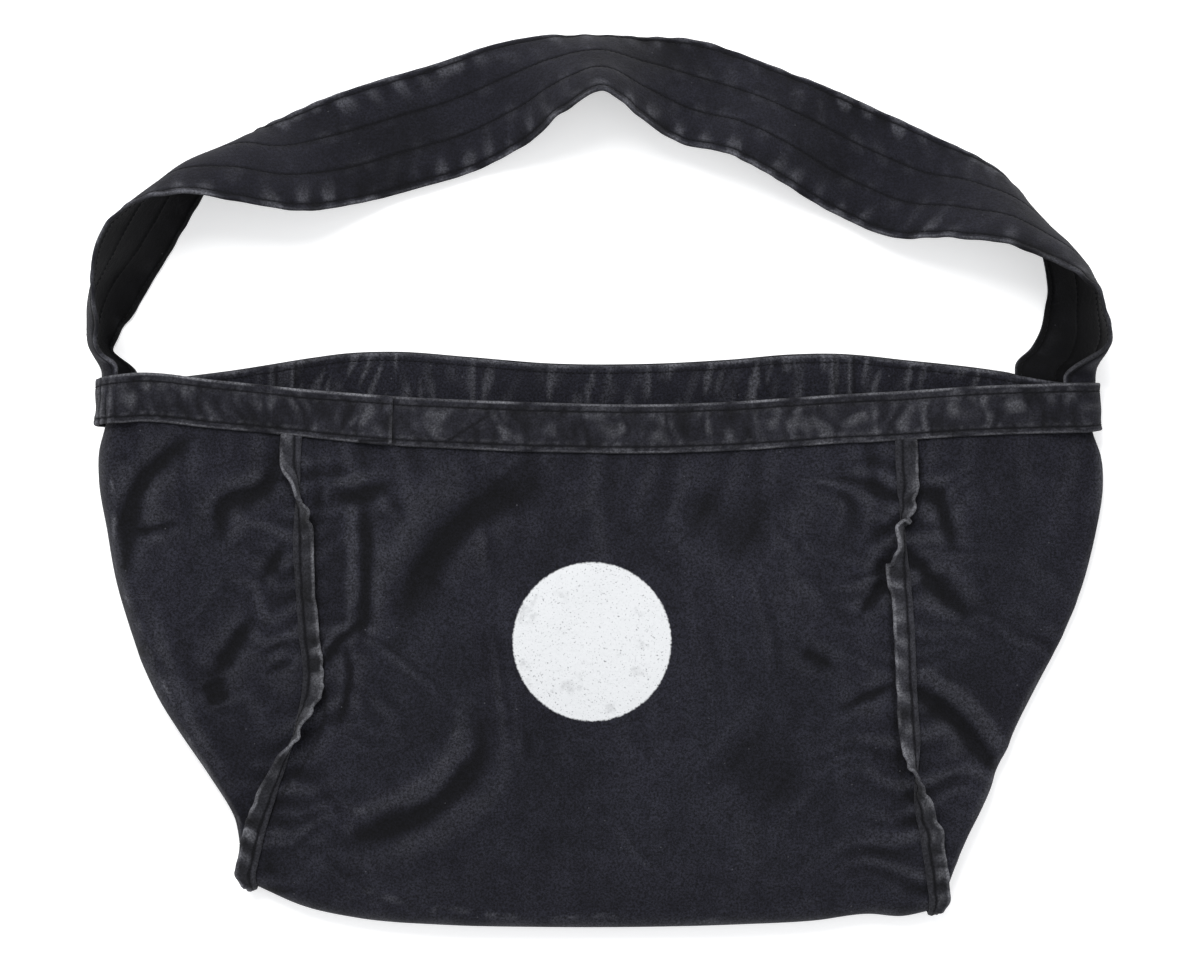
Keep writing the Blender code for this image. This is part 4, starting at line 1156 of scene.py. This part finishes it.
def makeBand():
    lap = band["lap"] / frontWidth()
    loop = np.linspace(band["lapEnd"] - lap, 4 + band["lapEnd"], band["columns"])
    seams = (band["stitchEdge"], band["height"] - band["stitchEdge"])
    up = ruled(band["height"] + band["over"], band["spacing"], [band["height"] - at for at in seams])
    below = (band["height"] - up)[:, None]
    loops, depths = np.broadcast_arrays(loop[None, :], below / bag["height"])
    place, out = clothPoint(loops, depths), normalOf(clothPoint, loops, depths)
    run = runAlong(place[len(below) // 2])[None, :]
    down = np.clip(below, 0, band["height"])
    slant = run + 0.0045 * patches(run, down, 0.013, 81)
    pucker = sum(rise * patches(slant, down * 0.4, cell, seed) for rise, cell, seed in band["puckers"])
    pucker = pucker * (0.3 + 0.7 * np.sin(np.pi * down / band["height"]) ** 0.5)
    ribs = band["ribs"]
    gathered = 1 - fade(-place[..., 0], -fromPhoto(ribs["from"])[0], -fromPhoto(ribs["to"])[0])
    gathered = gathered * (out[..., 2] > -0.2)
    rib = np.sin(2 * np.pi * run / ribs["wave"] + 1.5 * patches(run, down, 0.02, 86)) * gathered
    pucker = pucker + ribs["rise"] * rib
    groove, reach = band["grooves"]
    grooves = sum(bell(below - at, reach) for at in seams)
    lift = (pucker - groove * grooves + band["proud"]) * (out[..., 2] > -0.5)
    rows = place + out * (bandStandOff(loop)[None, :] + lift)[..., None]
    liftTo(rows, band["thickness"] / 2)

    edge = np.minimum(below + band["over"], band["height"] - below)
    blot = clamp(0.55 + 0.9 * patches(run, down, 0.006, 85))
    (share, reach), (ridgeShare, high) = band["edgeWear"], band["ridgeWear"]
    rubs = share * bell(edge, reach) * worth(run, 0.012, 83, 0.6, 0.7)
    rubs = rubs + ridgeShare * clamp(pucker / high) ** 1.4 * blot
    rubs = rubs + ribs["wear"] * clamp(rib) ** 2
    share, aside, reach = band["stitchWear"]
    beside = sum(bell(np.abs(below - at) - aside, reach) for at in seams)
    rubs = rubs * (1 - grooves) + share * beside * clamp(0.4 + patches(run, down, 0.003, 87))
    # painted shade in the stitch grooves and in the dips of the puckers
    share, deep = band["dipShade"]
    painted_shade_and_threads = grooves + share * clamp(-pucker / deep)
    onFront = out[..., 2] > 0.3
    for path in band["threads"]:
        pathX, pathY = fromPhoto(path)
        way = np.array([pathX[1] - pathX[0], pathY[1] - pathY[0]])
        length = np.hypot(*way)
        dx, dy = rows[..., 0] - pathX[0], rows[..., 1] - pathY[0]
        along, aside = (dx * way[0] + dy * way[1]) / length, (dx * way[1] - dy * way[0]) / length
        onPath = onFront * (along > 0) * (along < length)
        dark, clean = (onPath * bell(aside, reach) for reach in band["threadReach"])
        painted_shade_and_threads, rubs = np.maximum(painted_shade_and_threads, dark), rubs * (1 - clean)
    # a worn line at the lap's end and a painted shadow beside it
    fromLap = rows[..., 0] - lerp(seamX(-1, 0.0), seamX(1, 0.0), band["lapEnd"])
    (wear, *wearAt), (shade, *shadeAt) = band["lapWear"], band["lapShade"]
    rubs = np.maximum(rubs, wear * onFront * bell(fromLap - wearAt[0], wearAt[1]))
    painted_shade_and_threads = np.maximum(painted_shade_and_threads, shade * onFront * bell(fromLap - shadeAt[0], shadeAt[1]) * (loop < 1))
    marks = {"worn": rubs, "painted_shade_and_threads": clamp(painted_shade_and_threads)}
    piece = clothPiece("rim_band_cloth", rows, band["thickness"], 0, bandCotton, marks)

    stitched, inside = [], np.linspace(*band["stitchesInside"])
    for at in seams:
        row = int(np.argmin(np.abs(below - at)))
        stitched.append(stitchRow(rows[row] + out[row] * band["thickness"] / 2, out[row]))
        away = normalOf(clothPoint, inside, at / bag["height"])
        lining = clothPoint(inside, at / bag["height"]) - away * (bag["cloth"] + hemFold["thickness"])
        stitched.append(stitchRow(lining, -away))
    return piece, stitched


bandPiece, bandStitches = makeBand()
bandThreads = threadPiece("rim_band_stitches", bandStitches)
print("rim band made")


# The welts: the seam allowances, which run down the front seams, round the corners and up the back
def besideSeam(side, reach, depth, onBack=False):
    # places at a signed reach from a seam, positive on the panel, and the way out of the bag there
    seam = {(-1, False): 4.0, (1, False): 1.0, (1, True): 2.0, (-1, True): 3.0}[(side, onBack)]
    toPanel = -1 if seam in (1.0, 3.0) else 1
    seamAt, edgeX = seamX(side, depth), sideX(side, depth)
    width = np.abs(edgeX - seamAt)
    flat = width - bulgeOf(side, depth, width)
    onGusset = np.minimum(np.maximum(-reach, 0), flat)
    panelLoop = seam + toPanel * np.maximum(reach, 0) / frontWidth(depth)
    gussetLoop = seam - toPanel * gussets["foldStart"] * onGusset / flat
    loop = np.where(reach >= 0, panelLoop, gussetLoop)
    place = clothPoint(loop, depth)
    place[..., 0] += np.where(reach >= 0, 0, side * (np.maximum(-reach, 0) - onGusset))
    asked = np.where(reach >= 0, panelLoop, seam - toPanel * welts["bearing"] + 0 * depth)
    return place, normalOf(clothPoint, asked, depth, 0.006)


def makeWelt(side):
    wide, half = welts["width"], welts["thickness"] / 2
    start = (band["height"] + 4 * bag["gap"]) / bag["height"]
    depth = np.linspace(start, 1, welts["steps"])[:, None]
    depth, share = np.broadcast_arrays(depth, np.array(welts["shares"])[None, :])
    lean = np.radians(leans.at(sideName(side), depth))
    ripple = welts["ripple"] * ripples(depth * bag["height"], welts["wave"], 91 + side) * share ** 1.4
    place, out = besideSeam(side, share * wide * np.cos(lean), depth)
    standing, lying = np.sin(lean), np.abs(np.cos(lean))
    lift = welts["clearance"] + half + share * wide * standing
    lift = lift + lying * (ripple + share ** 1.4 * welts["ripple"])
    toPanel = xyz(-side + 0 * depth, 0, 0)
    front = place + out * lift[..., None] + toPanel * (ripple * standing)[..., None]

    angles = np.linspace(0, math.pi, welts["cornerSteps"])[1:-1]
    angle, cornerShare = np.broadcast_arrays(angles[:, None], share[:1])
    outCorner = xyz(0, -np.sin(angle), np.cos(angle))
    root = bottomTurn(np.full(angle.shape, shareOf(side)), angle) + outCorner * (welts["clearance"] + half)
    corner = root + xyz(side * cornerShare * (wide * (1 - welts["corner"] * np.sin(angle) ** 2)), 0, 0)
    ripple = welts["cornerRipple"] * np.sin(angle * 9) * cornerShare * np.sin(angle)
    corner = corner + outCorner * ripple[..., None]

    backDepth = np.linspace(1, start, welts["steps"] // 3)[:, None]
    backDepth, backShare = np.broadcast_arrays(backDepth, share[:1])
    back, _ = besideSeam(side, -backShare * wide, backDepth, onBack=True)
    back[..., 2] = half

    rows = np.concatenate([front, corner, back])
    run = runAlong(rows[:, 4])[:, None]
    share = np.broadcast_to(share[:1], rows.shape[:2])
    normals = facingOf(rows)
    across = share * wide
    rise, cell, seed = welts["dents"]
    dents = patches(run + 0.5 * across, across * 0.45, cell, seed + side)
    rows = rows + normals * (rise * dents * clamp((share - 0.3) * 2.5))[..., None]
    liftTo(rows, half)
    dents = dents * 1.3
    (edgeWear, reach), (plain, ridgeWear, shade) = welts["edgeWear"], welts["wear"]
    free, bed = bell(1 - share, reach), bell(share - welts["stitchAt"], welts["stitchReach"])
    rubs = edgeWear * free * worth(run, 0.008, 95 + side, 0.55, 0.8) + plain
    rubs = clamp(rubs + ridgeWear * clamp(dents) ** 1.5 * share) * (1 - bed)
    # painted shade along the stitch line and in the dents
    marks = {"worn": rubs, "painted_shade_and_threads": clamp(bed + shade * clamp(-dents) * clamp(share * 2))}
    name = "seam_welt_cloth_" + sideName(side)
    piece = clothPiece(name, rows, welts["thickness"], 0, bandCotton, marks, inside=welts["inside"])
    column = welts["shares"].index(welts["stitchAt"])
    return piece, bothFaces(rows[:, column], normals[:, column], welts["thickness"])


weltPieces, weltThreads = {}, {}
for side in (-1, 1):
    weltPieces[side], rows = makeWelt(side)
    weltThreads[side] = threadPiece("seam_welt_stitches_" + sideName(side), rows)
print("welts made")


# The strap. Its far edge lies on the floor; the section rises from it as an arc of the strap's own width.
# farX: share of the bag's width. farY: share of the rise above the rim. Angles are degrees.
strapSections = Columns("along farX farY heading lean curl gather", [
    (0, -0.488, 0.108, 180, 88, 86, 0.76),
    (1, -0.478, 0.168, 180, 82, 96, 0.90),
    (2, -0.463, 0.226, 181, 73, 94, 1),
    (3, -0.452, 0.283, 182, 67, 80, 1),
    (4, -0.441, 0.340, 182, 63, 54, 1),
    (5, -0.430, 0.397, 180, 61, 32, 1),
    (6, -0.418, 0.452, 178, 61, 34, 1),
    (7, -0.398, 0.548, 192, 64, 62, 1),
    (8, -0.374, 0.648, 230, 60, 96, 1),
    (9, -0.348, 0.722, 264, 48, 80, 1),
    (10, -0.328, 0.750, 284, 36, 50, 1),
    (11, -0.279, 0.822, 287, 15, 14, 1),
    (12, -0.211, 0.888, 287, 7, 6, 1),
    (13, -0.154, 0.937, 288, 7, 4, 1),
    (14, -0.106, 0.981, 292, 22, 10, 1),
    (15, -0.054, 1.007, 283, 42, 12, 1),
    (16, 0.001, 1.013, 270, 55, 16, 1),
    (17, 0.051, 1.008, 261, 40, 12, 1),
    (18, 0.100, 0.993, 257, 21, 8, 1),
    (19, 0.150, 0.941, 253, 27, 10, 1),
    (20, 0.204, 0.884, 247, 25, 8, 1),
    (21, 0.285, 0.784, 246, 9, 4, 1),
    (22, 0.338, 0.711, 246, 18, 8, 1),
    (23, 0.383, 0.653, 246, 38, 20, 1),
    (24, 0.413, 0.582, 252, 54, 40, 1),
    (25, 0.432, 0.484, 270, 67, 58, 1),
    (26, 0.441, 0.386, 314, 70, 70, 1),
    (27, 0.447, 0.290, 346, 68, 66, 1),
    (28, 0.445, 0.226, 350, 64, 66, 1),
    (29, 0.441, 0.168, 354, 58, 82, 1),
    (30, 0.432, 0.118, 357, 50, 110, 0.98),
])


def tuckedSection(side, share, down):
    rulers, run = tuckRulers[side]
    reach = strap["centres"][side] + (0.5 - share) * strap["width"] * strap["gathers"][side]
    around = np.interp(reach, run, rulers)
    loop = 1 + around if side > 0 else 4 - around
    depth = np.full_like(around, down / bag["height"])
    out = normalOf(clothPoint, loop, depth)
    return clothPoint(loop, depth) + out * (strap["ease"] + strap["thickness"] / 2)


def freeSection(number, tangent, share):
    read = {name: float(strapSections.at(name, number)) for name in strapSections.columns}
    heading, lean, curl = (math.radians(read[name]) for name in ("heading", "lean", "curl"))
    far = np.array([read["farX"] * bag["width"], read["farY"] * strap["rise"], strap["thickness"] / 2])
    way = np.array([math.cos(heading) * math.cos(lean), math.sin(heading) * math.cos(lean), math.sin(lean)])
    out = unit(np.cross(way, tangent))
    width = strap["width"] * read["gather"]
    turned = curl * (share - 0.5)
    along = width * (np.sin(turned) + math.sin(curl / 2)) / curl
    aside = width * (np.cos(turned) - math.cos(curl / 2)) / curl
    return far + along[:, None] * way + aside[:, None] * out


def strapRows():
    stitched = [at * strap["width"] for at in strap["stitchShares"]]
    share = ruled(strap["width"], strap["spacing"], stitched) / strap["width"]
    keys = strapSections.keys
    farX, farY = (strapSections.at(name, keys) for name in ("farX", "farY"))
    tangents = unit(np.gradient(np.stack([farX * bag["width"], farY * strap["rise"]], 1), axis=0))
    downs = (strap["tuck"], strap["tuck"] / 2, -strap["lip"], -2 * strap["lip"])
    sections = [tuckedSection(-1, share, down) for down in downs]
    sections += [freeSection(number, np.array([*way, 0.0]), share) for number, way in zip(keys, tangents)]
    sections = np.array(sections + [tuckedSection(1, share, down) for down in downs[::-1]])
    run = runAlong(sections.mean(axis=1))
    slopes = np.gradient(sections, run, axis=0)
    at = np.linspace(run[0], run[-1], strap["stations"])
    low = np.clip(np.searchsorted(run, at, side="right") - 1, 0, len(run) - 2)
    span = (run[low + 1] - run[low])[:, None, None]
    t = (at - run[low])[:, None, None] / span
    rows = hermite(sections[low], sections[low + 1], slopes[low] * span, slopes[low + 1] * span, t)
    return rows, share, at


def makeStrap():
    rows, share, run = strapRows()
    out = facingOf(rows)
    runs, shares = np.broadcast_arrays(run[:, None], share[None, :])
    ends = (1 - fade(runs, *strap["stiff"])) * (1 - fade(run[-1] - runs, *strap["stiff"]))
    metres = shares * strap["width"]
    edge = np.minimum(shares, 1 - shares) * strap["width"]
    soft = sum(rise * patches(runs, metres, cell, seed) for rise, cell, seed in strap["swells"])
    rise, cell, seed = strap["pucker"]
    slant = runs + 0.25 * np.abs(metres - strap["width"] / 2)
    pucker = rise * patches(slant, metres * 0.4, cell, seed)
    fromStitches = [(shares - at) * strap["width"] for at in strap["stitchShares"]]
    groove, reach = strap["grooves"]
    grooves = sum(bell(aside, reach) for aside in fromStitches)
    near = bell(edge, strap["puckerReach"][0])
    near = near + 0.35 * sum(bell(aside, strap["puckerReach"][1]) for aside in fromStitches)
    rise, cell, seed = strap["edgeSwing"]
    edgeSwing = (shares - 0.5) * 2 * rise * patches(runs, metres, cell, seed)
    rows = rows + out * (ends * (soft + pucker * near) - groove * grooves)[..., None]
    rows = rows + unit(np.gradient(rows, axis=1)) * (edgeSwing * ends)[..., None]
    liftTo(rows, strap["thickness"] / 2)
    out = facingOf(rows)
    (share, reach), (ridgeShare, high) = strap["edgeWear"], strap["ridgeWear"]
    smudge = clamp(pucker / high) ** 1.4 * clamp(near)
    rubs = clamp(share * bell(edge, reach) * worth(runs, 0.012, 106, 0.55, 0.7) + ridgeShare * smudge)
    # painted shade in the stitch grooves, in the dips of the puckers and in the low parts of the swells
    dipShare, *deep = strap["dipShade"]
    dips = clamp(-pucker / deep[0]) * clamp(near) + clamp(-soft / deep[1])
    marks = {"worn": rubs * (1 - grooves), "painted_shade_and_threads": clamp(grooves + dipShare * dips)}
    piece = clothPiece("shoulder_strap_cloth", rows, strap["thickness"], 0, strapCotton, marks)
    stitched = []
    for at in strap["stitchShares"]:
        column = int(np.argmin(np.abs(shares[0] - at)))
        stitched += bothFaces(rows[:, column], out[:, column], strap["thickness"])
    return piece, stitched


strapPiece, strapStitches = makeStrap()
strapThreads = threadPiece("shoulder_strap_stitches", strapStitches)
print("strap made")


# What stands for what
dressed = [
    # piece, node, slot, its stitches, flat size, area if it isn't a rectangle, how it is held
    (panelPiece, "main_panel", "canvas", [], (0.36, 0.66), 0.2376, "laid"),
    (gussetPieces[-1], "gusset_left", "canvas", [], (0.25, 0.31), 0.050, "folded"),
    (gussetPieces[1], "gusset_right", "canvas", [], (0.25, 0.31), 0.045, "folded"),
    (bandPiece, "rim_band", "trim", [bandThreads], (1.24, 0.029), None, "laid"),
    (weltPieces[-1], "seam_welt_left", "trim", [weltThreads[-1]], (0.60, 0.011), None, "laid"),
    (weltPieces[1], "seam_welt_right", "trim", [weltThreads[1]], (0.60, 0.011), None, "laid"),
    (strapPiece, "shoulder_strap", "strap", [strapThreads], (1.05, 0.069), None, "draped"),
]
for piece, node, slotName, threads, flat, area, held in dressed:
    for each in (piece, *threads):
        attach(each, "root")
    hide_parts(node)
    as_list(threads)


# The floor and the light
studio = {
    "key": {"place": (-0.5, 1.5, 2.1), "size": 1.3, "power": 55.0},
    "fill": {"place": (1.6, -1.0, 2.2), "size": 2.0, "power": 7.0},
    "sky": 0.78,
    "skyColour": (0.97, 0.98, 1.0),
    "floor": (0.92, 0.92, 0.92),
    "floorSize": 8,
    "glow": 0.36,
}


def makeLight(name, place, size, power):
    data = bpy.data.lights.new(name, "AREA")
    data.shape, data.size, data.energy = "DISK", size, power
    light = bpy.data.objects.new(name, data)
    light.location = place
    light.rotation_euler = (-Vector(place)).to_track_quat("-Z", "Y").to_euler()
    bpy.context.scene.collection.objects.link(light)


makeLight("key_light", **studio["key"])
makeLight("fill_light", **studio["fill"])
world = bpy.data.worlds.new("studio")
world.use_nodes = True
sky = world.node_tree.nodes["Background"]
sky.inputs[0].default_value = colour(*studio["skyColour"])
sky.inputs[1].default_value = studio["sky"]
bpy.context.scene.world = world
bpy.context.scene.view_settings.view_transform = "Standard"

bpy.ops.mesh.primitive_plane_add(size=studio["floorSize"], location=(0, 0, 0))
floor = bpy.context.active_object
floor.name = "floor"
paper = Finish("pale_floor")
paper.set(Base_Color=colour(*studio["floor"]), Roughness=0.9)
paper.set(Emission_Color=colour(1.0, 1.0, 1.0), Emission_Strength=studio["glow"])
floor.data.materials.append(paper.material)
print("studio set")
